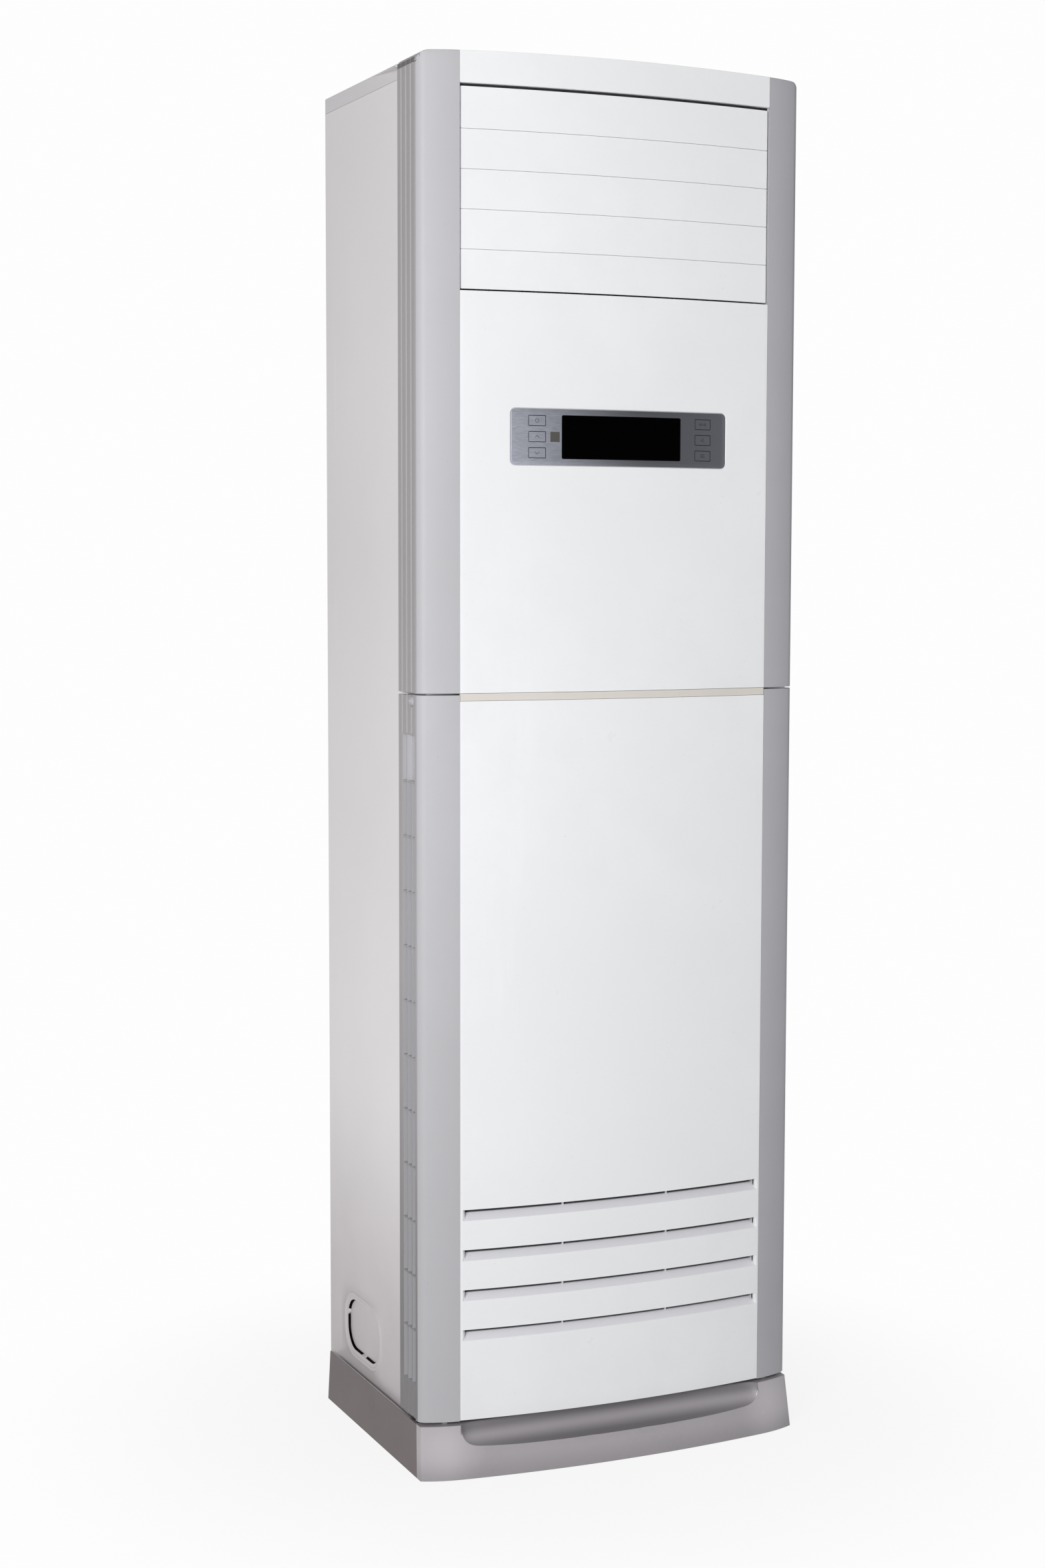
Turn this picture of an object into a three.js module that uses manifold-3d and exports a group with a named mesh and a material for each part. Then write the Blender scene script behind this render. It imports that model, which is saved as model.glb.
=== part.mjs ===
// Floor standing air conditioner, indoor unit.
// Millimetres, +Z up. The front faces -Y, and the origin is on the floor under the middle.
// The blower low in the cabinet draws air in through the side grilles and the slots of the lower
// front, and blows it up through the slanted evaporator and out between the louvres at the top.

import * as THREE from 'three';
import { mergeVertices } from 'three/addons/utils/BufferGeometryUtils.js';
import Module from 'manifold-3d';

const wasm = await Module();
wasm.setup();

// ---------------------------------------------------------------- Sizes

// Clearances and walls
const GAP = 0.3;                   // between pieces that touch
const WALL = 3;                    // moulded plastic
const SHEET = 1;                   // painted steel
const PIN_PLAY = 0.3;              // round a pin in its hole, on the radius

// The front, seen from above: a shallow bow, then a tighter shoulder and a round corner
const FRONT = 192.5;               // middle of the white front
const BOW = 14.5;                  // how far the white front's ends lie behind its middle
const FACE_END = BOW - FRONT;
const PILLAR_HALF = 268.5;
const PILLAR_WIDTH = 51.5;
const PANEL_HALF = PILLAR_HALF - PILLAR_WIDTH;
const SHOULDER_R = 165;
const CORNER_R = 15.5;
const PILLAR_DEPTH = 101.5;        // from the middle of the front to a pillar's rear edge
const PILLAR_REAR = PILLAR_DEPTH - FRONT;
const SIDE_WALL = 5;               // fluted side of a pillar
const BAND_DEPTH = 2;              // how far the fluted band lies back
const FLUTE_DEPTH = 1.5;
const FLUTE_COUNT = 3;
const STRIP_WIDTH = 13;            // flat strip behind the flutes
const CAP_HEIGHT = 9;              // closed top end of a pillar
const CROWN = 3;                   // arch of the front's top edge
const CAP_ROUND_X = 10;            // rounding of a pillar's outer top corner
const CAP_ROUND_Z = 16;

// Heights of the front, from the floor up
const PLINTH_TOP = 67.7;
const PLINTH_GAP = 4.8;            // shadow gap between the plinth and a pillar
const PILLAR_BOTTOM = PLINTH_TOP + PLINTH_GAP;
const PANEL_LIFT = 1;              // the white panel starts this far above the pillars
const PANEL_BOTTOM = PILLAR_BOTTOM + PANEL_LIFT;
const LOWER_PANEL_HEIGHT = 926.5;
const LOWER_PANEL_TOP = PANEL_BOTTOM + LOWER_PANEL_HEIGHT;
const PILLAR_RISE = 6.3;           // a lower pillar ends this far above the white panel
const LOWER_PILLAR_TOP = LOWER_PANEL_TOP + PILLAR_RISE;
const SEAM = 9.7;                  // between the lower and the upper white panel
const UPPER_BOTTOM = LOWER_PANEL_TOP + SEAM;
const FACE_HEIGHT = 500;
const OUTLET_BOTTOM = UPPER_BOTTOM + FACE_HEIGHT;
const LOUVRE_COUNT = 5;
const LOUVRE_PITCH = 48.9;
const LOUVRE_TOP_GAP = 5.8;
const LOUVRE_BOTTOM_GAP = 2;
const OUTLET_TOP = OUTLET_BOTTOM + LOUVRE_COUNT * LOUVRE_PITCH + LOUVRE_TOP_GAP + LOUVRE_BOTTOM_GAP;
const FASCIA_HEIGHT = 38;
const CABINET_TOP = OUTLET_TOP + FASCIA_HEIGHT;

// Steel cabinet
const PILLAR_STEP = 10.5;          // a pillar stands out this far past the side panel
const CABINET_HALF = PILLAR_HALF - PILLAR_STEP;
const BACK = 205;                  // outer face of the rear panel
const SKIRT_HEIGHT = 20;           // side of the top cover
const COVER_SHEET = 1.2;
const FLARE_LENGTH = 105;          // where the top cover widens to meet a pillar
const FLARE_HEIGHT = 7;
const SIDE_LAP = 8;                // a side panel reaches this far into the pillar
const SIDE_FRONT = PILLAR_REAR - SIDE_LAP;
const SHEET_BOTTOM = 14;
const FLANGE = 14;                 // folded edge of a side panel
const FLANGE_RISE = 32.3;          // from the plinth's top to the lower end of a folded edge

// Plinth
const PLINTH_INSET = 1;            // the rim's side lies this far inside the pillar's
const PLINTH_HALF = PILLAR_HALF - PLINTH_INSET;
const PLINTH_SPREAD = 3.5;         // the sides lean out this far at the floor
const PLINTH_RIM = 2;              // the rim stands this far in front of the pillars
const PLINTH_TOE = 10.5;           // the floor edge stands this far in front of the rim
const PLINTH_BACK_GAP = 24;        // from the plinth's open rear to the rear panel
const PLINTH_REAR = BACK - PLINTH_BACK_GAP;
const DECK_DEPTH = 44.5;           // deck under the front
const PLINTH_DECK = DECK_DEPTH - FRONT;
const SCOOP_MARGIN = 2;            // the scoop reaches this far past the white panel
const SCOOP_HALF = PANEL_HALF + SCOOP_MARGIN;
const SCOOP_RISE = 6;              // the scoop's middle above the white panel's lower edge
const SCOOP_SETBACK = 5;           // the scoop's middle in front of the rim
const SCOOP_DEPTH = 30;
const SCOOP_HEIGHT = 43;
const SCOOP_ROUND = 26;
const PAN_RIM_DROP = 8;            // from the plinth's top to the base pan's rim
const FOOT_R = 14;
const FOOT_INSET = 30;             // from the base pan's sides and rear to a foot's middle
const FOOT_SETBACK = 40;           // from the base pan's front to a foot's middle

// Rails that carry the louvres, behind the pillars' inner edges
const RAIL_WIDTH = 4.2;
const RAIL_STEP = 0.8;             // from the white panel's edge to the rail
const RAIL_SETBACK = 4;            // behind the white front's ends
const RAIL_FRONT = FACE_END + RAIL_SETBACK;
const RAIL_DEPTH = 24;
const RAIL_REAR = RAIL_FRONT + RAIL_DEPTH;
const RAIL_DROP = 12;              // from the cabinet's top to a rail's
const RAIL_TOP = CABINET_TOP - RAIL_DROP;
const JOGGLE = 6;                  // where the white wall steps back to the rail

// Louvres
const LOUVRE_SPLIT = 0.8;          // between two louvres
const LOUVRE_RECESS = 6;           // behind the white front
const LOUVRE_THICK = 2.5;
const LOUVRE_END_GAP = 1.5;
const LOUVRE_AXIS_SETBACK = 8;     // behind the rail's front edge
const LOUVRE_AXIS_Y = RAIL_FRONT + LOUVRE_AXIS_SETBACK;
const LOUVRE_PIN_R = 2.5;
const PIN_RIM = 1;                 // round a pin, in the part that carries it
const EAR_WIDTH = 2.5;
const CRANK_REACH = 13;
const CRANK_HALF = 3;
const CRANK_PIN_R = 1.6;
const CRANK_GAP = 2.5;             // from the rail to the crank arms
const LINK_GAP = 2;                // from the crank arms to the link
const LINK_THICK = 3;
const LINK_WIDTH = 6.4;
const LINK_END = 6;                // the link reaches this far past its last pin
const DRIVE_LOUVRE = 2;            // counted from the top, from 0

// Swing motors
const MOTOR_R = 12;
const MOTOR_LENGTH = 16;
const MOTOR_OFFSET = 8;            // from the motor's middle to its shaft
const MOTOR_BORE = 7;
const MOTOR_EAR = 20.4;            // from the motor's middle to the end of its ears
const MOTOR_EAR_HALF = 4;
const MOTOR_EAR_THICK = 2;

// Outlet duct and vanes
const DUCT_SETBACK = 9;            // behind the rails
const DUCT_FRONT = RAIL_REAR + DUCT_SETBACK;
const DUCT_TAB = 6;
const DUCT_BACK_GAP = 55;          // from the air's way to the rear panel
const DUCT_REAR = BACK - DUCT_BACK_GAP;
const DUCT_DROP = 34.7;            // from the outlet's lower edge to the duct's lower end
const DUCT_BOTTOM = OUTLET_BOTTOM - DUCT_DROP;
const DUCT_ROUND = 70;
const DUCT_MARGIN = 4.7;           // between the outlet's edge and the duct's floor
const DUCT_RISE = 8;               // from the outlet's top to the duct's ceiling
const VANE_COUNT = 6;
const VANE_PITCH = 66;
const VANE_THICK = 1.6;
const VANE_SETBACK = 4;            // behind the duct's front
const VANE_DEPTH = 40;
const VANE_FRONT = DUCT_FRONT + VANE_SETBACK;
const VANE_REAR = VANE_FRONT + VANE_DEPTH;
const VANE_AXIS_SETBACK = 22;      // behind the vane's front edge
const VANE_AXIS_Y = VANE_FRONT + VANE_AXIS_SETBACK;
const VANE_END_GAP = 4;
const VANE_PIN_R = 2;
const NOTCH_DEPTH = 10;
const NOTCH_HEIGHT = 12;
const NOTCH_RISE = 24;             // from the vane's lower end to its notch
const VANE_CRANK = 14;
const VANE_LINK_HEIGHT = 5;
const VANE_LINK_HALF = 3.5;
const VANE_LINK_END = 8;           // the link reaches this far past its last pin

// Controls
const PLATE_HALF = 151.4;
const PLATE_RISE = 286.3;          // from the upper white panel's lower edge to the plate
const PLATE_BOTTOM = UPPER_BOTTOM + PLATE_RISE;
const PLATE_HEIGHT = 70;
const PLATE_TOP = PLATE_BOTTOM + PLATE_HEIGHT;
const PLATE_ROUND = 6;
const PLATE_THICK = 1.5;
const PLATE_PROUD = 0.4;
const CONTROL_RISE = 0.3;          // the keys and windows above the plate's middle
const CONTROL_CENTRE = (PLATE_BOTTOM + PLATE_TOP) / 2 + CONTROL_RISE;
const KEY_MARGIN = 34.4;           // from a key's middle to the plate's end
const KEY_X = PLATE_HALF - KEY_MARGIN;
const KEY_WIDTH = 23;
const KEY_HEIGHT = 13;
const KEY_PITCH = 20.1;
const KEY_THICK = 2;
const KEY_TRAVEL = 0.6;
const KEY_STEM_R = 2;
const WINDOW_MARGIN = 33;          // from a key's middle to the window
const WINDOW_HALF = KEY_X - WINDOW_MARGIN;
const WINDOW_HEIGHT = 55;
const WINDOW_THICK = 2;
const RECEIVER_SIDE = 12.7;
const RECEIVER_STEP = 9;           // from the window's end to the receiver's middle
const RECEIVER_X = -WINDOW_HALF - RECEIVER_STEP;
const CUTOUT_MARGIN = 15;          // from a key's middle to the end of the opening behind the plate
const CUTOUT_HALF = KEY_X + CUTOUT_MARGIN;
const CUTOUT_LIP = 6;              // above and below the opening
const BOARD_SETBACK = 12;          // behind the middle of the front
const BOARD_FRONT = BOARD_SETBACK - FRONT;
const BOARD_THICK = 1.6;
const BOARD_REACH = 17;            // past the opening behind the plate
const BOARD_HALF = CUTOUT_HALF + BOARD_REACH;
const BOARD_LIP = 2;
const BOSS_R = 4;
const BOSS_LIP = 10;               // from the plate's edge to a boss's middle

// Lower front
const TRIM_INSET = 1;
const TRIM_THICK = 2;
const SLOT_COUNT = 4;
const SLOT_RISE = 275.5;           // from the panel's lower edge to the highest slot's top
const SLOT_TOP = PANEL_BOTTOM + SLOT_RISE;
const SLOT_PITCH = 52.3;
const SLOT_HEIGHT = 14.2;
const SLOT_MARGIN = 3.6;           // from a slot's end to the panel's
const SLOT_HALF = PANEL_HALF - SLOT_MARGIN;
const SLOT_MOUTH = 5.5;            // open height at the slot's inner end
const RAMP_DEPTH = 10;
const RAMP_THICK = 2;
const SLOT_RIB_X = 75;
const SLOT_RIB_WIDTH = 3;
const SLOT_FILTER_INSET = 16;
const FILTER_THICK = 2;
const FILTER_FLOOR = 1;            // mesh behind the frame's bars
const FILTER_MARGIN = 12;
const FILTER_FRAME = 5;
const FILTER_BAR = 3;              // half of a bar
const GUIDE_MARGIN = 2;            // a guide reaches this far past the filter
const GUIDE_DEPTH = 5;
const JOGGLE_RISE = 6;             // from the panel's lower edge to its side walls
const GRILLE_COLUMNS = 3;
const GRILLE_ROWS = 11;
const GRILLE_BAR = 1.8;
const GRILLE_MARGIN = 14;          // from the openings to the pillar's rear edge
const GRILLE_WIDTH = 46;
const GRILLE_REAR = PILLAR_REAR - GRILLE_MARGIN;
const GRILLE_FRONT = GRILLE_REAR - GRILLE_WIDTH;
const GRILLE_RISE = 45.5;          // from the pillar's lower end to the openings
const GRILLE_BOTTOM = PILLAR_BOTTOM + GRILLE_RISE;
const GRIP_HEIGHT = 60;            // finger grip above the grille
const GRIP_DROP = 49.5;            // from the pillar's top to the finger grip
const GRILLE_PITCH = (LOWER_PILLAR_TOP - GRIP_DROP - GRIP_HEIGHT - GRILLE_BOTTOM) / GRILLE_ROWS;
const GRILLE_THICK = 6.7;
const GRILLE_FRAME = 2;
const GRILLE_INNER_X = PILLAR_HALF - BAND_DEPTH - GRILLE_THICK;
const SIDE_FILTER_THICK = 3.5;
const SCREW_MARGIN = 49;           // from the screw to the pillar's rear edge
const SCREW_Y = PILLAR_REAR - SCREW_MARGIN;
const SCREW_DROP = 7.3;            // from the pillar's top to the screw
const SCREW_Z = LOWER_PILLAR_TOP - SCREW_DROP;
const SCREW_HEAD_R = 4;
const SCREW_HEAD = 2.5;
const SCREW_SHANK_R = 2;
const SCREW_RECESS_HALF = 4.8;     // oval recess round the screw's head
const SCREW_RECESS_RISE = 6.5;
const BOSS_GAP = 0.5;              // from the side panel to the screw's boss
const BOSS_INNER_X = CABINET_HALF + BOSS_GAP;
const BOSS_FLOOR = 2;
const BOSS_HALF = 9;

// Hinge of the lower front: hooks on the lower pillars drop over pins on the plinth
const HINGE_SETBACK = 18;          // behind the white front's ends
const HINGE_Y = FACE_END + HINGE_SETBACK;
const HINGE_RISE = 7.5;            // above a lower pillar's lower end
const HINGE_Z = PILLAR_BOTTOM + HINGE_RISE;
const HINGE_PIN_R = 3;
const HOOK_INSET = 21;             // from the hook to the side panel
const HOOK_INNER_X = CABINET_HALF - HOOK_INSET;
const HOOK_WIDTH = 8;
const HOOK_HALF = 7;
const LUG_GAP = 1;                 // between a lug and its hook
const LUG_WIDTH = 6;
const LUG_HALF = 5;

// Cross beam behind the seam
const BEAM_DROP = 15;              // from the lower white panel's top to the beam
const BEAM_BOTTOM = LOWER_PANEL_TOP - BEAM_DROP;
const BEAM_SETBACK = 15;           // behind the white front's ends
const BEAM_FRONT = FACE_END + BEAM_SETBACK;
const BEAM_DEPTH = 32;
const BEAM_REAR = BEAM_FRONT + BEAM_DEPTH;
const BEAM_SHEET = 1.5;
const CLIP_X = 150;
const CLIP_HALF = 6;
const CLIP_MARGIN = 2;

// Partition, drain pan and evaporator
const PARTITION_DROP = 20;         // under the beam
const PARTITION_Z = BEAM_BOTTOM - PARTITION_DROP;
const PARTITION_THICK = 1.5;
const PARTITION_SETBACK = 3;       // behind the beam
const PARTITION_FRONT = BEAM_REAR + PARTITION_SETBACK;
const SLOT_PLAY = 1;               // round a flange in the partition
const COIL_MARGIN = 68;            // from the fins' ends to the side panels
const COIL_HALF = CABINET_HALF - COIL_MARGIN;
const COIL_THICK = 44;
const COIL_TILT = 17 * Math.PI / 180;
const COIL_Y = 5;
const COIL_RISE = 20;              // above the middle between the partition and the duct
const COIL_Z = (PARTITION_Z + DUCT_BOTTOM) / 2 + COIL_RISE;
const COIL_ROOM = 89.2;            // height left over between the partition and the duct
const COIL_LENGTH = (DUCT_BOTTOM - PARTITION_Z - COIL_ROOM) / Math.cos(COIL_TILT);
const TUBE_PLATE = 1.5;
const TUBE_PLATE_EDGE = 4;         // past the fins, above and below
const TUBE_PLATE_LIP = 3;          // past the fins, in front and behind
const PLATE_FOOT_HALF = 14;
const BEND_COUNT = 6;
const BEND_R = 11;
const BEND_TUBE_R = 4.2;
const PAN_MARGIN = 31;             // from the fins' ends to the drain pan's
const PAN_HALF = COIL_HALF + PAN_MARGIN;
const PAN_FRONT = -102;
const PAN_REAR = -24;
const PAN_HEIGHT = 40;
const PAN_WALL = 2;
const SPOUT_R = 9;
const SPOUT_INSET = 21;            // from the drain pan's end
const SPOUT_X = SPOUT_INSET - PAN_HALF;
const SPOUT_DROP = 26;

// Blower
const BLOWER_DROP = 405;           // from the partition to the blower's axis
const BLOWER_Z = PARTITION_Z - BLOWER_DROP;
const SCROLL_FRONT = -32;
const SCROLL_DEPTH = 130;
const SCROLL_REAR = SCROLL_FRONT + SCROLL_DEPTH;
const SCROLL_WALL = 2;
const SCROLL_MARGIN = 26;          // from the scroll to the side panel
const SCROLL_R_END = CABINET_HALF - SCROLL_MARGIN;
const SCROLL_GROWTH = 72;
const SCROLL_R_START = SCROLL_R_END - SCROLL_GROWTH;
const SCROLL_CUTOFF = 50 * Math.PI / 180;
const SCROLL_LIP = 20;             // the outlet's side stands this far inside the cut-off
const WHEEL_PLAY = 10;             // from the wheel to the scroll, all round
const WHEEL_R = SCROLL_R_START - WHEEL_PLAY;
const BLADE_DEPTH = 26;
const WHEEL_INNER_R = WHEEL_R - BLADE_DEPTH;
const WHEEL_FRONT_PLAY = 14;
const WHEEL_FRONT = SCROLL_FRONT + WHEEL_FRONT_PLAY;
const WHEEL_REAR = SCROLL_REAR - WHEEL_PLAY;
const WHEEL_RIM = 3;
const WHEEL_DISC = 2;
const BLADE_COUNT = 24;
const BLADE_THICK = 1.5;
const BLADE_LEAN = 0.7;            // radians
const INLET_STEP = 14;             // from the wheel's opening to the scroll's inlet
const INLET_R = WHEEL_INNER_R - INLET_STEP;
const INLET_FLANGE = 18;
const RING_WALL = 2;
const THROAT_STEP = 12;
const THROAT_R = INLET_R - THROAT_STEP;
const THROAT_PLAY = 4;             // from the throat to the wheel's rim
const HUB_R = 20;
const HUB_LENGTH = 30;
const HUB_PLAY = 10;
const SHAFT_R = 6;
const SHAFT_END = 6;               // the shaft reaches this far out of the hub
const BLOWER_MOTOR_R = 62;
const BLOWER_MOTOR_LENGTH = 62;
const MOTOR_FLANGE = 8;
const MOTOR_FLANGE_THICK = 4;
const BRACKET_HALF = 150;
const BRACKET_THICK = 2;
const BRACKET_WINDOW_R = 39;
const BRACKET_WINDOW = 96;         // from the bracket's middle to a window's, across and up

// Electrics
const BOX_LEFT = -150;
const BOX_RIGHT = 120;
const BOX_RISE = 20.3;             // above the upper white panel's lower edge
const BOX_BOTTOM = UPPER_BOTTOM + BOX_RISE;
const BOX_HEIGHT = 220;
const BOX_TOP = BOX_BOTTOM + BOX_HEIGHT;
const BOX_DEPTH = 36;
const BOX_SHEET = 1.5;
const BOX_WALL = 2;
const STRAP_MARGIN = 10;           // from the box's top and bottom to its strap's
const TERMINAL_Z = BLOWER_Z;
const TERMINAL_HEIGHT = 90;
const TERMINAL_DEPTH = 20;
const TERMINAL_FRONT = 20;
const TERMINAL_WIDTH = 40;
const TERMINAL_COUNT = 5;
const TERMINAL_PITCH = 16;
const TERMINAL_RIB = 6;
const TERMINAL_CUT = 9;

// Pipes
const GAS_PIPE_R = 7.9;
const GAS_PIPE_BACK_GAP = 55;      // from the pipe to the rear panel
const GAS_PIPE_Y = BACK - GAS_PIPE_BACK_GAP;
const GAS_PIPE_ROW = 2;            // between which of the return bends, counted from below
const LIQUID_PIPE_R = 4.8;
const PIPE_PITCH = 30;
const LIQUID_PIPE_Y = GAS_PIPE_Y - PIPE_PITCH;
const LIQUID_PIPE_ROW = 1;
const PIPE_INSET = 23;             // from the side panel
const PIPE_X = PIPE_INSET - CABINET_HALF;
const PIPE_BEND = 26;
const PIPE_BOTTOM = 200;
const FLARE_NUT_HEIGHT = 24;
const FLARE_NUT_RATIO = 1.5;       // nut's radius to its pipe's

// Pipe knock-out in a side panel
const KNOCKOUT_BACK_GAP = 55;      // from the bead to the rear panel
const KNOCKOUT_REAR = BACK - KNOCKOUT_BACK_GAP;
const KNOCKOUT_LENGTH = 141;
const KNOCKOUT_FRONT = KNOCKOUT_REAR - KNOCKOUT_LENGTH;
const KNOCKOUT_BOTTOM = 83;
const KNOCKOUT_HEIGHT = 86;
const KNOCKOUT_TOP = KNOCKOUT_BOTTOM + KNOCKOUT_HEIGHT;
const KNOCKOUT_ROUND = 38;
const BEAD_WIDTH = 7;
const BEAD_HEIGHT = 1.2;
const SLIT_INSET = 14;
const SLIT_WIDTH = 3.5;
const TAB_WIDTH = 8;

// Cutting tools reach this far past what they cut, and joined blocks overlap by the lap
const PAST = 1;
const LAP = 0.5;

// ---------------------------------------------------------------- Making and cutting solids

function toSolid(geometry) {
  geometry.deleteAttribute('normal');
  geometry.deleteAttribute('uv');
  const merged = mergeVertices(geometry, 1e-4);
  const vertProperties = new Float32Array(merged.attributes.position.array);
  const triVerts = new Uint32Array(merged.index.array);
  const solid = new wasm.Manifold(new wasm.Mesh({ numProp: 3, vertProperties, triVerts }));
  if (solid.volume() > 0) return solid;
  triVerts.reverse();
  return new wasm.Manifold(new wasm.Mesh({ numProp: 3, vertProperties, triVerts }));
}

function toGeometry(solid) {
  const mesh = solid.getMesh();
  const geometry = new THREE.BufferGeometry();
  geometry.setAttribute('position', new THREE.BufferAttribute(mesh.vertProperties, 3));
  geometry.setIndex(new THREE.BufferAttribute(mesh.triVerts, 1));
  geometry.computeVertexNormals();
  return geometry;
}

const join = (...solids) => solids.reduce((whole, piece) => whole.add(piece));
const cut = (whole, ...tools) => tools.reduce((rest, tool) => rest.subtract(tool), whole);
const moved = (solid, matrix) => toSolid(toGeometry(solid).applyMatrix4(matrix));
const mirrored = (solid) => moved(solid, new THREE.Matrix4().makeScale(-1, 1, 1));

function extrude(outline, depth) {
  const shape = new THREE.Shape(outline.map(([a, b]) => new THREE.Vector2(a, b)));
  return new THREE.ExtrudeGeometry(shape, { depth, bevelEnabled: false });
}

// An outline of x and y points, carried up from z0 to z1
const prismZ = (outline, z0, z1) => toSolid(extrude(outline, z1 - z0).translate(0, 0, z0));

// An outline of x and z points, carried back from y0 to y1
const prismY = (outline, y0, y1) =>
  toSolid(extrude(outline, y1 - y0).rotateX(Math.PI / 2).translate(0, y1, 0));

// An outline of y and z points, carried across from x0 to x1
function prismX(outline, x0, x1) {
  const turn = new THREE.Matrix4().makeBasis(
    new THREE.Vector3(0, 1, 0), new THREE.Vector3(0, 0, 1), new THREE.Vector3(1, 0, 0));
  return toSolid(extrude(outline, x1 - x0).applyMatrix4(turn).translate(x0, 0, 0));
}

function block(x0, x1, y0, y1, z0, z1) {
  const box = new THREE.BoxGeometry(x1 - x0, y1 - y0, z1 - z0);
  return toSolid(box.translate((x0 + x1) / 2, (y0 + y1) / 2, (z0 + z1) / 2));
}

const cylinder = (radius, length, sides) => new THREE.CylinderGeometry(radius, radius, length, sides);
const rodX = (x0, x1, y, z, radius, sides = 8) =>
  toSolid(cylinder(radius, x1 - x0, sides).rotateZ(Math.PI / 2).translate((x0 + x1) / 2, y, z));
const rodY = (y0, y1, x, z, radius, sides = 8) =>
  toSolid(cylinder(radius, y1 - y0, sides).translate(x, (y0 + y1) / 2, z));
const rodZ = (z0, z1, x, y, radius, sides = 8) =>
  toSolid(cylinder(radius, z1 - z0, sides).rotateX(Math.PI / 2).translate(x, y, (z0 + z1) / 2));

function tube(curve, radius, steps, sides = 8) {
  const section = new THREE.Shape();
  section.absarc(0, 0, radius, 0, 2 * Math.PI);
  const points = section.getPoints(sides / 2).slice(0, sides);
  const shape = new THREE.Shape(points);
  return toSolid(new THREE.ExtrudeGeometry(shape, { steps, extrudePath: curve }));
}

// A rectangle with round corners, as outline points
function roundRect(a0, a1, b0, b1, radius, steps = 4) {
  const r = Math.min(radius, (a1 - a0) / 2, (b1 - b0) / 2);
  const corners = [[a1 - r, b1 - r, 0], [a0 + r, b1 - r, 1], [a0 + r, b0 + r, 2], [a1 - r, b0 + r, 3]];
  return corners.flatMap(([a, b, quarter]) => Array.from({ length: steps + 1 }, (_, i) => {
    const angle = (quarter + i / steps) * Math.PI / 2;
    return [a + r * Math.cos(angle), b + r * Math.sin(angle)];
  }));
}

// ---------------------------------------------------------------- The front, seen from above

// Each arc is tangent to the one before. An angle is that of the surface's normal, 0 at the front.
const arcPoint = (arc, angle, inset) =>
  [arc.x + (arc.r - inset) * Math.sin(angle), arc.y - (arc.r - inset) * Math.cos(angle)];

function nextArc(arc, angle, radius) {
  const [x, y] = arcPoint(arc, angle, radius);
  return { x, y, r: radius };
}

const bowRadius = (PANEL_HALF ** 2 + BOW ** 2) / (2 * BOW);
const bow = { x: 0, y: bowRadius - FRONT, r: bowRadius };
const bowEnd = Math.asin(PANEL_HALF / bowRadius);
const shoulder = nextArc(bow, bowEnd, SHOULDER_R);
const shoulderEnd = Math.asin((PILLAR_HALF - CORNER_R - shoulder.x) / (SHOULDER_R - CORNER_R));
const corner = nextArc(shoulder, shoulderEnd, CORNER_R);

function arcLine(arc, inset, from, to, steps) {
  return Array.from({ length: steps + 1 }, (_, i) => arcPoint(arc, from + (to - from) * i / steps, inset));
}

const bowY = (inset, x) => bow.y - Math.sqrt((bow.r - inset) ** 2 - x ** 2);

// The bow from x0 to x1, at a depth behind the front surface
function bowLine(inset, x0, x1, steps = 12) {
  const radius = bow.r - inset;
  return arcLine(bow, inset, Math.asin(x0 / radius), Math.asin(x1 / radius), steps);
}

// A slab that follows the bow, between two depths behind the front surface
function bowSlab(x0, x1, z0, z1, near, far, steps = 12) {
  const outline = [...bowLine(near, x0, x1, steps), ...bowLine(far, x0, x1, steps).reverse()];
  return prismZ(outline, z0, z1);
}

// The right pillar's front and corner, from the white panel's edge to its straight side
function pillarLine(inset) {
  const start = Math.asin((PANEL_HALF + GAP - shoulder.x) / (SHOULDER_R - inset));
  return [
    ...arcLine(shoulder, inset, start, shoulderEnd, 4),
    ...arcLine(corner, inset, shoulderEnd, Math.PI / 2, 6).slice(1),
  ];
}

// The front elevation's top: crowned, with the pillars' outer corners rounded
function topProfile() {
  const crown = (x) => CABINET_TOP + CROWN * (1 - (x / PILLAR_HALF) ** 2);
  const inner = PILLAR_HALF - CAP_ROUND_X;
  const middle = Array.from({ length: 13 }, (_, i) => inner * (i / 6 - 1)).map((x) => [x, crown(x)]);
  const round = Array.from({ length: 6 }, (_, i) => (i + 1) / 6 * Math.PI / 2).map((angle) => [
    inner + CAP_ROUND_X * Math.sin(angle),
    crown(inner) - CAP_ROUND_Z * (1 - Math.cos(angle)),
  ]);
  const left = round.map(([x, z]) => [-x, z]).reverse();
  return [[-PILLAR_HALF, 0], ...left, ...middle, ...round, [PILLAR_HALF, 0]];
}

const underTop = prismY(topProfile(), -FRONT - PAST, BACK);

// ---------------------------------------------------------------- The model

const unit = new THREE.Group();

const finish = (color, roughness, metalness = 0) => ({ color, roughness, metalness });
const WHITE = finish(0xeceef2, 0.35);
const GREY = finish(0xb4b4b8, 0.42);
const PLINTH_GREY = finish(0x8f8b8f, 0.45);
const CREAM = finish(0xdcd5c8, 0.6);
const PAINTED = finish(0xcfccd0, 0.45, 0.1);
const ZINC = finish(0xa9adb0, 0.45, 0.8);
const BLACK = finish(0x060607, 0.08);
const DARK = finish(0x2b2d30, 0.6);
const BRUSHED = finish(0x9fa1a6, 0.4, 0.8);
const COPPER = finish(0xb87333, 0.35, 0.9);
const FINS = finish(0xb9bec2, 0.4, 0.8);
const BOARD = finish(0x1f6b3a, 0.6);
const FOAM = finish(0xe8e8e4, 0.8);
const MESH = finish(0x3a3d42, 0.8);

function add(name, solid, look) {
  const mesh = new THREE.Mesh(toGeometry(solid), new THREE.MeshStandardMaterial(look));
  mesh.name = name;
  unit.add(mesh);
}

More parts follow.
